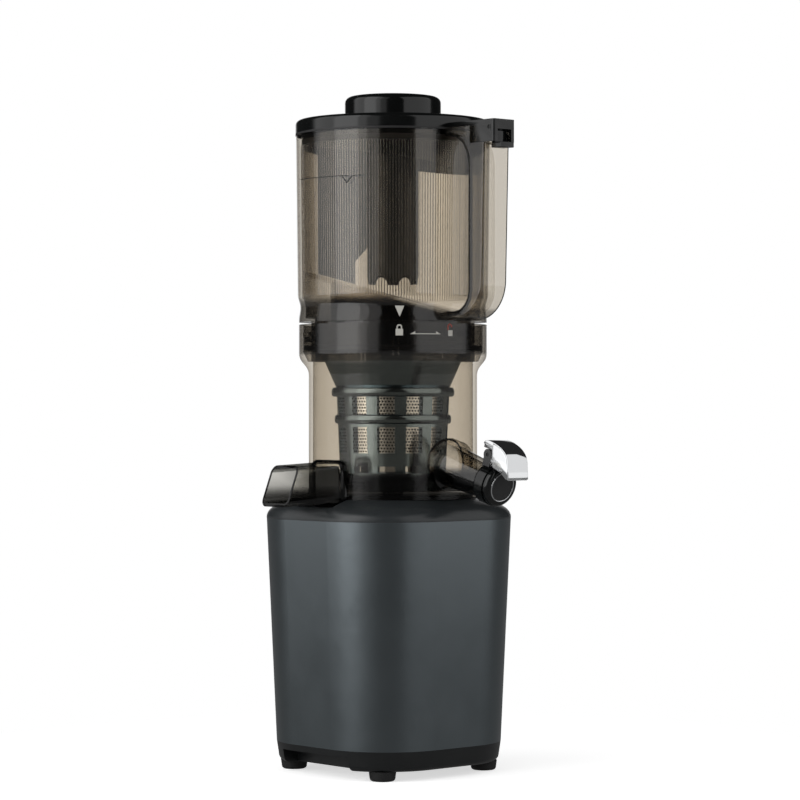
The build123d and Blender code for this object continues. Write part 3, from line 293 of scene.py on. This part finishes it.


# painted shade levels are lowest and highest height in mm, softness, and the share of light that they
# keep;
# painted reflection shade levels are the same for the share that is mirrored
clearLooks = {
    "clearHopper": {"flat": (0.84, 0.81, 0.76), "edge": (0.45, 0.43, 0.39), "edgePower": 5.0,
                    "mirror": 0.05, "paintedShadeLevels": [(300, 366, 3, 0.5)], "lean": 14.0},
    "clearBowl": {"flat": (0.82, 0.79, 0.74), "edge": (0.5, 0.47, 0.43), "edgePower": 5.0,
                  "mirror": 0.05, "paintedShadeLevels": [(323.5, 360, 1.5, 0.62), (200, 231, 3, 0.4)],
                  "paintedReflectionShade": [(200, 317, 3, 0.3)], "rough": (0.13, 0.18)},
    "clearHandle": {"flat": (0.76, 0.73, 0.68), "edge": (0.2, 0.19, 0.17), "edgePower": 3.2,
                    "mirror": 0.05, "paintedShadeLevels": [(340, 356, 2, 0.7)]},
    "clearWeb": {"flat": (0.93, 0.92, 0.9), "edge": (0.5, 0.48, 0.45), "edgePower": 3.0,
                 "mirror": 0.04},
    "clearJuice": {"flat": (0.78, 0.75, 0.7), "edge": (0.1, 0.1, 0.09), "edgePower": 2.5,
                   "mirror": 0.06, "paintedShadeLevels": [(200, 235, 4, 0.3)], "wave": 0.01},
    "clearPulp": {"flat": (0.93, 0.92, 0.89), "edge": (0.08, 0.08, 0.07), "edgePower": 2.2,
                  "mirror": 0.04, "paintedShadeLevels": [(200, 219, 5, 0.42), (239.2, 250, 0.5, 0.3)], "wave": 0.01},
    "clearRib": {"flat": (0.86, 0.84, 0.81), "edge": (0.3, 0.29, 0.27), "edgePower": 2.0,
                 "mirror": 0.13, "wave": 0.01},
    # near-black clear, painted shade for the dark lines at the edges of thick clear walls
    "paintedDarkEdge": {"flat": (0.05, 0.05, 0.05), "edge": (0.02, 0.02, 0.02), "edgePower": 2.0,
                  "mirror": 0.03, "wave": 0.01},
}
for name, look in clearLooks.items():
    finish[name] = clearPlastic(name, look)

# the strainer's perforated sheet, in metres; the hole's radius is a share of the pitch
sheet = {"pitch": 0.0024, "hole": 0.3, "radius": 0.0395, "dark": (0.9, 0.92, 0.93),
         "light": (0.95, 0.97, 0.98), "behind": (0.012, 0.012, 0.012), "rough": (0.17, 0.22),
         "blotch": 0.01, "depth": 0.0001, "relief": 0.4}


def perforated():
    mat, tree, shader = newFinish("perforatedSheet")
    shader.inputs["Metallic"].default_value = 1.0
    split = addNode(tree, "ShaderNodeSeparateXYZ")
    tree.links.new(fromAxis(tree), split.inputs[0])
    angle = maths(tree, "ARCTAN2", split.outputs["Y"], split.outputs["X"])
    around = maths(tree, "MULTIPLY", angle, sheet["radius"] / sheet["pitch"])
    up = maths(tree, "MULTIPLY", split.outputs["Z"], 1 / sheet["pitch"])
    halves = maths(tree, "MULTIPLY", maths(tree, "FLOOR", up), 0.5)  # every other row is half a pitch on
    dx = maths(tree, "SUBTRACT", maths(tree, "FRACT", maths(tree, "ADD", around, halves)), 0.5)
    dz = maths(tree, "SUBTRACT", maths(tree, "FRACT", up), 0.5)
    squares = [maths(tree, "MULTIPLY", side, side) for side in (dx, dz)]
    reach = maths(tree, "SQRT", maths(tree, "ADD", *squares))
    hole = maths(tree, "LESS_THAN", reach, sheet["hole"])
    blotches = grain(tree, sheet["blotch"])
    tint(tree, shader, blotches, sheet["dark"], sheet["light"])
    tree.links.new(spread(tree, blotches, *sheet["rough"]), shader.inputs["Roughness"])
    bump(tree, shader, reach, sheet["depth"], sheet["relief"])
    gap = addNode(tree, "ShaderNodeBsdfDiffuse")
    gap.inputs["Color"].default_value = (*sheet["behind"], 1)
    blend = mixShaders(tree, hole, shader.outputs[0], gap.outputs[0])
    tree.links.new(blend, tree.nodes["Material Output"].inputs["Surface"])
    return mat


finish["perforatedSheet"] = perforated()

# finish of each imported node
nodeFinish = {
    "baseGrey": ["body_sleeve"],
    "glossBlack": ["dial_bezel", "control_dial", "cap_body", "cap_gate", "lid",
                   "lid_arm", "lid_latch", "plunger_knob"],
    "domeBlack": ["top_shell"],
    "darkPin": ["lever_pin", "latch_pin"],
    "satinBlack": ["bottom_tray", "power_inlet", "dial_switch", "plunger_stem"],
    "footRubber": ["front_right_foot", "front_left_foot", "rear_left_foot", "rear_right_foot",
                   "shaft_seal"],
    "darkSilicone": ["bowl_seal", "spout_ring", "gate_seal", "hopper_gasket", "lid_gasket"],
    "greySilicone": ["gate_face"],
    "chrome": ["cap_lever"],
    "steel": ["tray_screws", "motor_can", "motor_stator", "motor_rotor", "motor_shaft",
              "gearbox_screws", "output_bearing", "counter_shaft", "output_gear", "drive_shaft",
              "auger_shaft"],
    "strainerGrey": ["strainer_frame"],
    "tubeGrey": ["feed_tube"],
    "augerBlack": ["auger"],
    "castAluminium": ["motor_stand", "gear_plate", "gearbox_housing"],
    "copperWire": ["stator_windings"],
    "boardGreen": ["control_board"],
    "nylon": ["cooling_fan", "counter_gear"],
    "clearBowl": ["bowl"],
    "clearHopper": ["hopper_body"],
    "clearHandle": ["hopper_handle"],
    "clearJuice": ["juice_spout"],
    "clearPulp": ["pulp_spout"],
    "perforatedSheet": ["strainer_mesh"],
}
for name, members in nodeFinish.items():
    for member in members:
        for matSlot in nodes[member].material_slots:
            matSlot.material = finish[name]
print("finishes on", sum(len(m) for m in nodeFinish.values()), "nodes")


# new pieces share these, in metres and degrees; a broad face stays flat beside its rounded edges
shared = {"mergeGap": 1e-7, "copyMergeGap": 1e-6, "flatAngle": 1, "sharpAngle": 35, "hardAngle": 40,
          "broad": 25 * mm * mm}


def finishPiece(bm, name, material, body, broad=None):
    bmesh.ops.remove_doubles(bm, verts=bm.verts, dist=shared["mergeGap"])
    bmesh.ops.recalc_face_normals(bm, faces=bm.faces)
    for face in bm.faces:
        face.smooth = broad is None or face.calc_area() < broad
    mesh = bpy.data.meshes.new(name)
    bm.to_mesh(mesh)
    bm.free()
    mesh.set_sharp_from_angle(angle=math.radians(shared["sharpAngle"]))
    piece = bpy.data.objects.new(name, mesh)
    scene.collection.objects.link(piece)
    mesh.materials.append(finish[material])
    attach(piece, body)
    return piece


def copyNode(node):
    bm = bmesh.new()
    bm.from_mesh(nodes[node].data)
    bmesh.ops.remove_doubles(bm, verts=bm.verts, dist=shared["copyMergeGap"])
    return bm


def extruded(bm, faces, shift):
    # pulls the faces out, and gives the vertices at their far side
    grown = bmesh.ops.extrude_face_region(bm, geom=faces)
    moved = [v for v in grown["geom"] if isinstance(v, bmesh.types.BMVert)]
    bmesh.ops.translate(bm, verts=moved, vec=shift)
    return moved


def spun(bm, geom, steps):
    bmesh.ops.spin(bm, geom=geom, cent=(0, 0, 0), axis=(0, 0, 1), angle=2 * math.pi, steps=steps,
                   use_merge=True)


def roundHard(bm, width):
    # rounds the edges where two faces meet at a hard angle
    hard = [e for e in bm.edges
            if len(e.link_faces) == 2 and e.calc_face_angle(0) > math.radians(shared["hardAngle"])]
    bmesh.ops.bevel(bm, geom=hard, offset=width * mm, offset_type="OFFSET", segments=3, profile=0.5,
                    affect="EDGES", material=-1, clamp_overlap=True)


# thin upright ribs inside the hopper's barrel, sunk in its wall by half
ribs = {"count": 200, "sides": 8, "width": 1.0, "depth": 0.36, "low": 367, "high": 485.5,
        "lowRadius": 70.25, "highRadius": 71.52}


def makeRibs():
    bm = bmesh.new()
    tall = (ribs["high"] - ribs["low"]) * mm
    bmesh.ops.create_circle(bm, cap_ends=True, segments=ribs["sides"], radius=0.5)
    extruded(bm, bm.faces[:], (0, 0, 1))
    slim = Matrix.Diagonal((2 * ribs["depth"] * mm, ribs["width"] * mm, tall, 1))
    bmesh.ops.transform(bm, matrix=slim, verts=bm.verts)
    for v in bm.verts:  # the barrel widens upwards
        wider = (ribs["highRadius"] - ribs["lowRadius"]) * v.co.z / tall
        v.co.x += (ribs["lowRadius"] + wider) * mm
    bmesh.ops.translate(bm, verts=bm.verts, vec=(0, 0, ribs["low"] * mm))
    bmesh.ops.spin(bm, geom=bm.verts[:] + bm.edges[:] + bm.faces[:], cent=(0, 0, 0), axis=(0, 0, 1),
                   angle=2 * math.pi, steps=ribs["count"], use_duplicate=True)
    bmesh.ops.translate(bm, verts=bm.verts, vec=(axisX, axisY, 0))
    finishPiece(bm, "hopperRibs", "clearRib", "hopper")


makeRibs()
print("ribs made")


# moulded parts whose edges catch the light: piece, finish, body, slot, the rounding, and how far in
# front of the axis a part starts to be set back, under the lever's skin, in mm
softEdges = {"cap_lever": ("capLever", "chrome", "lever", "chrome", 0.6, 139.5),
             "lid_arm": ("lidArm", "glossBlack", "lid", "black_plastic", 0.9, None),
             "lid_latch": ("lidLatch", "glossBlack", "latch", "black_plastic", 0.7, None)}
setBack = 0.5


def rounded(node, name, material, body, slotName, width, tucked):
    bm = copyNode(node)
    bmesh.ops.dissolve_limit(bm, angle_limit=math.radians(shared["flatAngle"]),
                             use_dissolve_boundaries=False, verts=bm.verts, edges=bm.edges,
                             delimit={"NORMAL"})
    if tucked:
        for v in bm.verts:
            if axisY - v.co.y > tucked * mm:
                v.co.y += setBack * mm
    roundHard(bm, width)
    piece = finishPiece(bm, name, material, body, shared["broad"])
    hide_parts(node)


for node, plan in softEdges.items():
    rounded(node, *plan)
print("edges rounded")


# slope of the juice spout, and the back of its cap as distance from the axis and height
spout = {"slope": math.radians(15.5), "back": 108.0, "height": 227.0}


def onSpout(side, along, above):
    # mm beside the spout's axis, along it from the cap's back, and above it
    out = spout["back"] + along * math.cos(spout["slope"]) + above * math.sin(spout["slope"])
    z = spout["height"] - along * math.sin(spout["slope"]) + above * math.cos(spout["slope"])
    return Vector((axisX + side * mm, axisY - out * mm, z * mm))


# the lever's two cheeks, as points along the spout and above it
cheek = {"outline": [(8.3, 32.0), (13.5, 31.3), (18.1, 30.0), (22.0, 28.0), (24.8, 25.3), (26.7, 21.8),
                     (30.9, 10.3), (28.6, 9.5), (22.0, 12.8), (17.8, 13.5), (14.0, 13.8), (8.8, 16.0)],
         "inner": 9.52, "outer": 10.6, "round": 0.45}


def makeCheeks():
    bm = bmesh.new()
    for side in (-1, 1):
        ring = [bm.verts.new(onSpout(side * cheek["inner"], *point)) for point in cheek["outline"]]
        shift = side * (cheek["outer"] - cheek["inner"]) * mm
        moved = extruded(bm, [bm.faces.new(ring)], (shift, 0, 0))
        rim = [e for e in bm.edges if all(v in moved for v in e.verts)]
        bmesh.ops.bevel(bm, geom=rim, offset=cheek["round"] * mm, offset_type="OFFSET", segments=3,
                        profile=0.5, affect="EDGES", material=-1)
    finishPiece(bm, "leverCheeks", "chrome", "lever", shared["broad"])


makeCheeks()

# arched skin over the lever, as distance in front of the axis and height
skin = {"arc": [(114.2, 256.0), (115.6, 257.6), (119.0, 257.9), (124.7, 256.3), (129.5, 254.2),
                (133.6, 251.7), (136.9, 248.8), (139.2, 245.4), (140.3, 241.6)],
        "underside": [(140.93, 228.6), (139.9, 228.6), (138.9, 241.0), (137.4, 244.6), (134.5, 248.6),
                      (128.0, 251.0), (121.0, 253.2), (115.2, 254.8)],
        "half": 10.2, "steps": 5, "round": 0.35}


def smoothPath(points, steps):
    # a curve through all the points
    made = []
    for i in range(len(points) - 1):
        p0, p1, p2, p3 = (Vector(points[max(0, min(len(points) - 1, i + k))]) for k in (-1, 0, 1, 2))
        for step in range(steps):
            t = step / steps
            made.append((2 * p1 + (p2 - p0) * t + (2 * p0 - 5 * p1 + 4 * p2 - p3) * t ** 2
                         + (3 * p1 - p0 - 3 * p2 + p3) * t ** 3) / 2)
    return made + [Vector(points[-1])]


def makeSkin():
    bm = bmesh.new()
    profile = smoothPath(skin["arc"], skin["steps"]) + [Vector(p) for p in skin["underside"]]
    side = bm.faces.new([bm.verts.new((axisX - skin["half"] * mm, axisY - p.x * mm, p.y * mm))
                         for p in profile])
    extruded(bm, [side], (2 * skin["half"] * mm, 0, 0))
    bmesh.ops.recalc_face_normals(bm, faces=bm.faces)
    roundHard(bm, skin["round"])
    finishPiece(bm, "leverSkin", "chrome", "lever", shared["broad"])


makeSkin()

# rings round the spout: the bright chrome one in the face of the cap's gate, the dark painted shade one in
# the bowl's wall
trims = {"steps": 64, "sides": 12,
         "discTrim": {"along": 16.2, "radius": 11.0, "section": 0.5, "wall": None},
         "spoutRoot": {"along": 0.0, "radius": 18.0, "section": 0.7, "wall": 63.6}}


def makeTrim(name, material, body):
    trim = trims[name]
    bm = bmesh.new()
    bmesh.ops.create_circle(bm, segments=trims["sides"], radius=trim["section"] * mm)
    bmesh.ops.rotate(bm, verts=bm.verts, matrix=Matrix.Rotation(math.radians(90), 3, "X"))
    bmesh.ops.translate(bm, verts=bm.verts, vec=(trim["radius"] * mm, 0, 0))
    spun(bm, bm.verts[:] + bm.edges[:], trims["steps"])
    if trim["wall"]:  # bent onto the bowl's wall, along the spout
        for v in bm.verts:
            depth = math.sqrt((trim["wall"] * mm) ** 2 - v.co.x ** 2) - spout["back"] * mm
            v.co.z += (depth - v.co.y * math.sin(spout["slope"])) / math.cos(spout["slope"])
    lean = Matrix.Rotation(math.radians(90) + spout["slope"], 3, "X")
    bmesh.ops.rotate(bm, verts=bm.verts, matrix=lean)
    bmesh.ops.translate(bm, verts=bm.verts, vec=onSpout(0, trim["along"], 0))
    finishPiece(bm, name, material, body)


makeTrim("discTrim", "chrome", "lever")
makeTrim("spoutRoot", "paintedDarkEdge", "bowl")
print("lever made")


# painted shade: the pulp spout's end faces are painted near black: those of its mouth, by the way that
# they face, and those of the flange at its root, by their side and their distance from the axis in mm
pulp = {"mouth": Vector((-0.93, 0, 0.35)).normalized(), "mouthMatch": 0.92,
        "flange": -70.25, "flangeThick": 3, "flangeSide": 0.5, "broad": 60 * mm * mm}


def onPulpRim(face):
    out = (face.calc_center_median().x - axisX) / mm
    if out > pulp["flange"]:
        return abs(face.normal.x) < pulp["flangeSide"] or out < pulp["flange"] + pulp["flangeThick"]
    return face.normal.dot(pulp["mouth"]) > pulp["mouthMatch"]


def makePulpSpout():
    bm = copyNode("pulp_spout")
    for face in bm.faces:
        face.material_index = 1 if onPulpRim(face) else 0
    piece = finishPiece(bm, "pulpSpout", "clearPulp", "bowl", pulp["broad"])
    piece.data.materials.append(finish["paintedDarkEdge"])
    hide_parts("pulp_spout")


makePulpSpout()
print("pulp spout outlined")

# soft flap across the root of the pulp spout, in mm from the axis and above the floor
flap = {"x": -67.25, "thick": 1.3, "halfWide": 13.6, "round": 3.4, "low": 211.8, "high": 237.5,
        "cornerSteps": 6}


def makeFlap():
    bm = bmesh.new()
    straightY = flap["halfWide"] - flap["round"]
    straightZ = (flap["high"] - flap["low"]) / 2 - flap["round"]
    middle = (flap["high"] + flap["low"]) / 2
    ring = []
    for corner, (sideY, sideZ) in enumerate(((1, 1), (-1, 1), (-1, -1), (1, -1))):
        for step in range(flap["cornerSteps"] + 1):
            swing = math.radians(90 * (corner + step / flap["cornerSteps"]))
            y = sideY * straightY + flap["round"] * math.cos(swing)
            z = middle + sideZ * straightZ + flap["round"] * math.sin(swing)
            ring.append(bm.verts.new((axisX + flap["x"] * mm, axisY + y * mm, z * mm)))
    extruded(bm, [bm.faces.new(ring)], (flap["thick"] * mm, 0, 0))
    finishPiece(bm, "pulpFlap", "darkSilicone", "bowl")


makeFlap()


# hoops round the strainer: outer radius, lowest and highest
hoops = {"inner": 42.5, "rings": [(48.0, 290.6, 297.8), (45.6, 269.6, 276.8)], "round": 1.6,
         "roundSteps": 8, "steps": 96}


def makeHoops():
    bm = bmesh.new()
    for outer, low, high in hoops["rings"]:
        core = outer - hoops["round"]
        profile = [(hoops["inner"], low), (core, low)]
        for step in range(1, hoops["roundSteps"]):  # rounded outside
            swing = math.radians(-90 + 180 * step / hoops["roundSteps"])
            profile.append((core + hoops["round"] * math.cos(swing),
                            (low + high) / 2 + (high - low) / 2 * math.sin(swing)))
        profile += [(core, high), (hoops["inner"], high)]
        verts = [bm.verts.new((r * mm, 0, z * mm)) for r, z in profile]
        edges = [bm.edges.new(pair) for pair in zip(verts, verts[1:])]
        spun(bm, verts + edges, hoops["steps"])
    bmesh.ops.translate(bm, verts=bm.verts, vec=(axisX, axisY, 0))
    finishPiece(bm, "strainerHoops", "strainerGrey", "bowl")


makeHoops()

# square-edged bands: the lip under the lid and the sheet behind the strainer's lowest slots
bandRings = {"steps": 128,
             "lidLip": {"outer": 75.97, "inner": 75.0, "low": 493.5, "high": 495.1},
             "strainerSkirt": {"outer": 38.2, "inner": 37.8, "low": 232.6, "high": 238.4}}


def makeBand(name, material, body):
    ring = bandRings[name]
    bm = bmesh.new()
    corners = [(ring["inner"], ring["low"]), (ring["outer"], ring["low"]),
               (ring["outer"], ring["high"]), (ring["inner"], ring["high"])]
    verts = [bm.verts.new((r * mm, 0, z * mm)) for r, z in corners]
    edges = [bm.edges.new((verts[i - 1], verts[i])) for i in range(4)]
    spun(bm, verts + edges, bandRings["steps"])
    bmesh.ops.translate(bm, verts=bm.verts, vec=(axisX, axisY, 0))
    finishPiece(bm, name, material, body)


makeBand("lidLip", "darkSilicone", "lid")
makeBand("strainerSkirt", "chrome", "bowl")

# inner wall of the hollow handle, as distance in front of the axis and height
handleWall = {"path": [(74.5, 488), (78, 488), (86.4, 486.3), (93.6, 481.6), (98.3, 474.4), (100, 466),
                       (100, 371), (98.8, 364.9), (95.3, 359.7), (90.1, 356.2), (84, 355), (76, 355)],
              "thick": 2.4, "left": -12.6, "right": 12.6, "rimWide": 1.2, "rimThick": 3.2}

# painted shade: a dark line inside the handle's outer edge, down its front and round the lower corner
handleEdge = {"top": (116.7, 480.5), "centre": (85.3, 378.5), "radius": 28.7, "end": 80, "steps": 8,
              "thick": 0.5, "left": 12.15, "right": 12.65}


def edgePath():
    centre = Vector(handleEdge["centre"])
    path = [Vector(handleEdge["top"])]
    for step in range(handleEdge["steps"] + 1):
        swing = math.radians(handleEdge["end"] * step / handleEdge["steps"])
        path.append(centre + Vector((math.cos(swing), -math.sin(swing))) * handleEdge["radius"])
    return path


def sweptWall(name, material, path, thick, left, right):
    # a wall that follows the path, its inner face on it
    outside = []
    for i, point in enumerate(path):
        along = (path[min(i + 1, len(path) - 1)] - path[max(i - 1, 0)]).normalized()
        outside.append(point + Vector((-along.y, along.x)) * thick)
    bm = bmesh.new()
    rim, far = ([bm.verts.new((axisX + left * mm, axisY - p.x * mm, p.y * mm)) for p in line]
                for line in (path, outside))
    faces = [bm.faces.new((rim[i], rim[i + 1], far[i + 1], far[i])) for i in range(len(path) - 1)]
    extruded(bm, faces, ((right - left) * mm, 0, 0))
    finishPiece(bm, name, material, "hopper")


wallPath = [Vector(p) for p in handleWall["path"]]
rimEnd = handleWall["left"] + handleWall["rimWide"]
sweptWall("handleWall", "clearWeb", wallPath, handleWall["thick"], rimEnd, handleWall["right"])
# the rim is near black, painted shade on the inner wall's edge
sweptWall("handleRim", "paintedDarkEdge", wallPath, handleWall["rimThick"], handleWall["left"], rimEnd)
sweptWall("handleEdge", "paintedDarkEdge", edgePath(), handleEdge["thick"], handleEdge["left"],
          handleEdge["right"])
print("handle, hoops and lip made")


# printed marks on the hopper and the bowl's collar: node, piece, finish, body, bearing from the
# camera's, height, and an outline in mm to the right of there and up
marks = {
    "lift": 0.05,
    "thick": 0.08,
    "cutStep": 2,
    "cutReach": 36,
    "rayStart": 200,
    "slots": {"markPrint": "nylon", "redPrint": "copper", "satinBlack": "matte_black"},
    "print": [
        ("hopper_body", "turnArrow", "markPrint", "hopper", 4.1, 355.1,
         [(-3.6, 4.2), (0, -4.2), (3.6, 4.2)]),
        ("bowl", "lockBody", "markPrint", "bowl", 3.9, 339.4,
         [(-2.8, -2.6), (2.8, -2.6), (2.8, 2.4), (-2.8, 2.4)]),
        ("bowl", "lockArch", "markPrint", "bowl", 3.9, 339.4,
         [(-2.1, 2.3), (-1.2, 2.3), (-1.2, 4.0), (-0.6, 4.7), (0.6, 4.7), (1.2, 4.0), (1.2, 2.3),
          (2.1, 2.3), (2.1, 4.3), (1.1, 5.7), (-1.1, 5.7), (-2.1, 4.3)]),
        ("bowl", "lockOpen", "markPrint", "bowl", 36.6, 339.0,
         [(-2.1, -2.4), (2.1, -2.4), (2.1, 2.0), (-2.1, 2.0)]),
        ("bowl", "lockShackle", "redPrint", "bowl", 36.2, 343.4,
         [(-2.2, -2.2), (-1.1, -2.2), (-1.1, 0.9), (0, 1.8), (1.1, 0.9), (1.1, 0), (2.2, 0),
          (2.2, 1.3), (0, 2.9), (-2.2, 1.3)]),
        ("hopper_body", "levelLine", "satinBlack", "hopper", -45.0, 458.0,
         [(-37.5, -0.2), (37.5, -0.2), (37.5, 0.2), (-37.5, 0.2)]),
        ("hopper_body", "levelTip", "satinBlack", "hopper", -27.5, 457.6,
         [(-4.7, 0), (-3.6, 0), (0, -4.1), (3.6, 0), (4.7, 0), (0, -5.6)]),
        ("bowl", "turnLine", "markPrint", "bowl", 20.0, 338.2,
         [(-12.5, -0.4), (12.5, -0.4), (8.4, 1.9), (8.4, 0.25), (-8.4, 0.25), (-8.4, 1.9)]),
    ],
}


def bearingVector(bearing):
    return towards * math.cos(bearing) + sideways * math.sin(bearing)


def wallReach(tree, bearing, z):
    # how far the part's outside is from the axis at that bearing and height
    out = bearingVector(bearing)
    axis = Vector((axisX, axisY, z))
    hit = tree.ray_cast(axis + out * (marks["rayStart"] * mm), -out)[0]
    return (hit - axis).length


def makeMark(node, name, material, body, bearing, z, outline):
    surface = bmesh.new()
    surface.from_mesh(nodes[node].data)
    tree = BVHTree.FromBMesh(surface)
    surface.free()
    middle = math.radians(bearing)
    radius = wallReach(tree, middle, z * mm)
    bm = bmesh.new()
    bm.faces.new([bm.verts.new((x * mm, y * mm, 0)) for x, y in outline])
    bm.normal_update()
    bmesh.ops.triangulate(bm, faces=bm.faces)
    for cut in range(-marks["cutReach"], marks["cutReach"] + 1, marks["cutStep"]):  # to follow the curve
        geom = bm.verts[:] + bm.edges[:] + bm.faces[:]
        bmesh.ops.bisect_plane(bm, geom=geom, plane_co=(cut * mm, 0, 0), plane_no=(1, 0, 0))
    raised = extruded(bm, bm.faces[:], (0, 0, 0))
    for v in bm.verts:
        level = z * mm + v.co.y
        swing = middle + v.co.x / radius
        reach = wallReach(tree, swing, level) + marks["lift"] * mm
        if v in raised:
            reach += marks["thick"] * mm
        v.co = Vector((axisX, axisY, level)) + bearingVector(swing) * reach
    finishPiece(bm, name, material, body)


# upright stops inside the collar: bearing from the camera's, lowest and highest
stops = {"radius": 69.6, "wide": 0.8, "deep": 0.9, "sides": 12,
         "places": [(-20.0, 317.5, 335.5), (-17.6, 317.5, 335.5), (0.2, 322.0, 335.6), (3.7, 322.0, 335.6),
                    (33.0, 320.0, 346.0)]}


def makeStops():
    bm = bmesh.new()
    for bearing, low, high in stops["places"]:
        made = bmesh.ops.create_cone(bm, cap_ends=True, segments=stops["sides"], radius1=0.5,
                                     radius2=0.5, depth=1)
        size = (stops["wide"] * mm, stops["deep"] * mm, (high - low) * mm)
        bmesh.ops.scale(bm, verts=made["verts"], vec=size)
        swing = math.radians(bearing)
        bmesh.ops.rotate(bm, verts=made["verts"], matrix=Matrix.Rotation(swing + turn, 3, "Z"))
        place = Vector((axisX, axisY, (low + high) / 2 * mm)) + bearingVector(swing) * stops["radius"] * mm
        bmesh.ops.translate(bm, verts=made["verts"], vec=place)
    finishPiece(bm, "collarStops", "clearRib", "bowl")


makeStops()

for mark in marks["print"]:
    makeMark(*mark)
print("marks made:", len(marks["print"]))


# floor, world and lamps, in metres
studio = {
    "floorSize": 15,
    "floorColour": (0.86, 0.86, 0.86),
    "floorRough": 0.9,
    "floorLift": 0.62,  # added where the floor is looked at
    "floorMirrored": 0.17,  # share of the floor that polished faces see
    "shadowReach": (0.16, 0.42),  # the floor turns to plain white between these distances
    "ambient": 0.3,
    "mirrored": 0.02,  # what polished faces see of the dark side of the studio
    "behind": (0.93, 0.985),  # cosines between which the world behind the juicer turns bright
    "lampHeight": 0.9,
    "aimHeight": 0.35,
    "lamps": {  # the left one is built up of layers, so that it fades outwards
        "leftLamp": {"bearing": -61, "width": 3.4, "height": 2.0, "away": 1.6, "radiance": 0.5},
        "leftMiddle": {"bearing": -66, "width": 2.4, "height": 2.0, "away": 1.57, "radiance": 0.65},
        "leftKey": {"bearing": -56, "width": 0.9, "height": 2.0, "away": 1.54, "radiance": 0.9},
        "rightLamp": {"bearing": 64, "width": 2.6, "height": 2.0, "away": 1.6, "radiance": 0.82},
    },
}


def seenRays(tree):
    path = addNode(tree, "ShaderNodeLightPath")
    seen = maths(tree, "MAXIMUM", path.outputs["Is Camera Ray"], path.outputs["Is Transmission Ray"])
    return path.outputs["Is Glossy Ray"], seen


def makeFloor():
    bm = bmesh.new()
    bmesh.ops.create_grid(bm, x_segments=2, y_segments=2, size=studio["floorSize"])
    mesh = bpy.data.meshes.new("floor")
    bm.to_mesh(mesh)
    bm.free()
    floor = bpy.data.objects.new("floor", mesh)
    scene.collection.objects.link(floor)
    mat, tree, shader = newFinish("floorPaper")
    shader.inputs["Base Color"].default_value = (*studio["floorColour"], 1)
    shader.inputs["Roughness"].default_value = studio["floorRough"]
    shader.inputs["Specular IOR Level"].default_value = 0.0
    shader.inputs["Emission Color"].default_value = (1, 1, 1, 1)
    mirrored, seen = seenRays(tree)
    lift = maths(tree, "MULTIPLY", seen, studio["floorLift"])
    tree.links.new(lift, shader.inputs["Emission Strength"])
    # plain white paper further out, so that no horizon shows
    length = addNode(tree, "ShaderNodeVectorMath", operation="LENGTH")
    tree.links.new(fromAxis(tree), length.inputs[0])
    far = spread(tree, length.outputs["Value"], 0.0, 1.0, *studio["shadowReach"])
    white = addNode(tree, "ShaderNodeEmission", Strength=1.0)
    paper = mixShaders(tree, maths(tree, "MULTIPLY", far, seen), shader.outputs[0], white.outputs[0])
    dim = addNode(tree, "ShaderNodeEmission", Strength=studio["floorMirrored"])
    last = mixShaders(tree, mirrored, paper, dim.outputs[0])
    tree.links.new(last, tree.nodes["Material Output"].inputs["Surface"])
    mesh.materials.append(mat)


makeFloor()


def makeSky():
    # white where it is looked at, dim where it is mirrored, except straight behind the juicer
    world = bpy.data.worlds.new("studio")
    scene.world = world
    world.use_nodes = True
    tree = world.node_tree
    sky = tree.nodes["Background"]
    sky.inputs["Color"].default_value = (1, 1, 1, 1)
    mirrored, seen = seenRays(tree)
    coords = addNode(tree, "ShaderNodeTexCoord")
    facing = addNode(tree, "ShaderNodeVectorMath", operation="DOT_PRODUCT")
    facing.inputs[1].default_value = -towards
    tree.links.new(coords.outputs["Generated"], facing.inputs[0])
    behind = spread(tree, facing.outputs["Value"], studio["mirrored"], 1.0, *studio["behind"])
    level = mixNumbers(tree, mirrored, studio["ambient"], behind)
    tree.links.new(mixNumbers(tree, seen, level, 1.0), sky.inputs["Strength"])


makeSky()

for name, lamp in studio["lamps"].items():
    data = bpy.data.lights.new(name, "AREA")
    data.shape = "RECTANGLE"
    data.size, data.size_y = lamp["width"], lamp["height"]
    data.energy = lamp["radiance"] * math.pi * lamp["width"] * lamp["height"]
    light = bpy.data.objects.new(name, data)
    scene.collection.objects.link(light)
    reach = bearingVector(math.radians(lamp["bearing"])) * lamp["away"]
    light.location = Vector((axisX, axisY, studio["lampHeight"])) + reach
    aim = Vector((axisX, axisY, studio["aimHeight"])) - light.location
    light.rotation_mode = "QUATERNION"
    light.rotation_quaternion = aim.to_track_quat("-Z", "Y")
scene.view_settings.view_transform = "Standard"
scene.cycles.transparent_max_bounces = 40
print("studio ready")
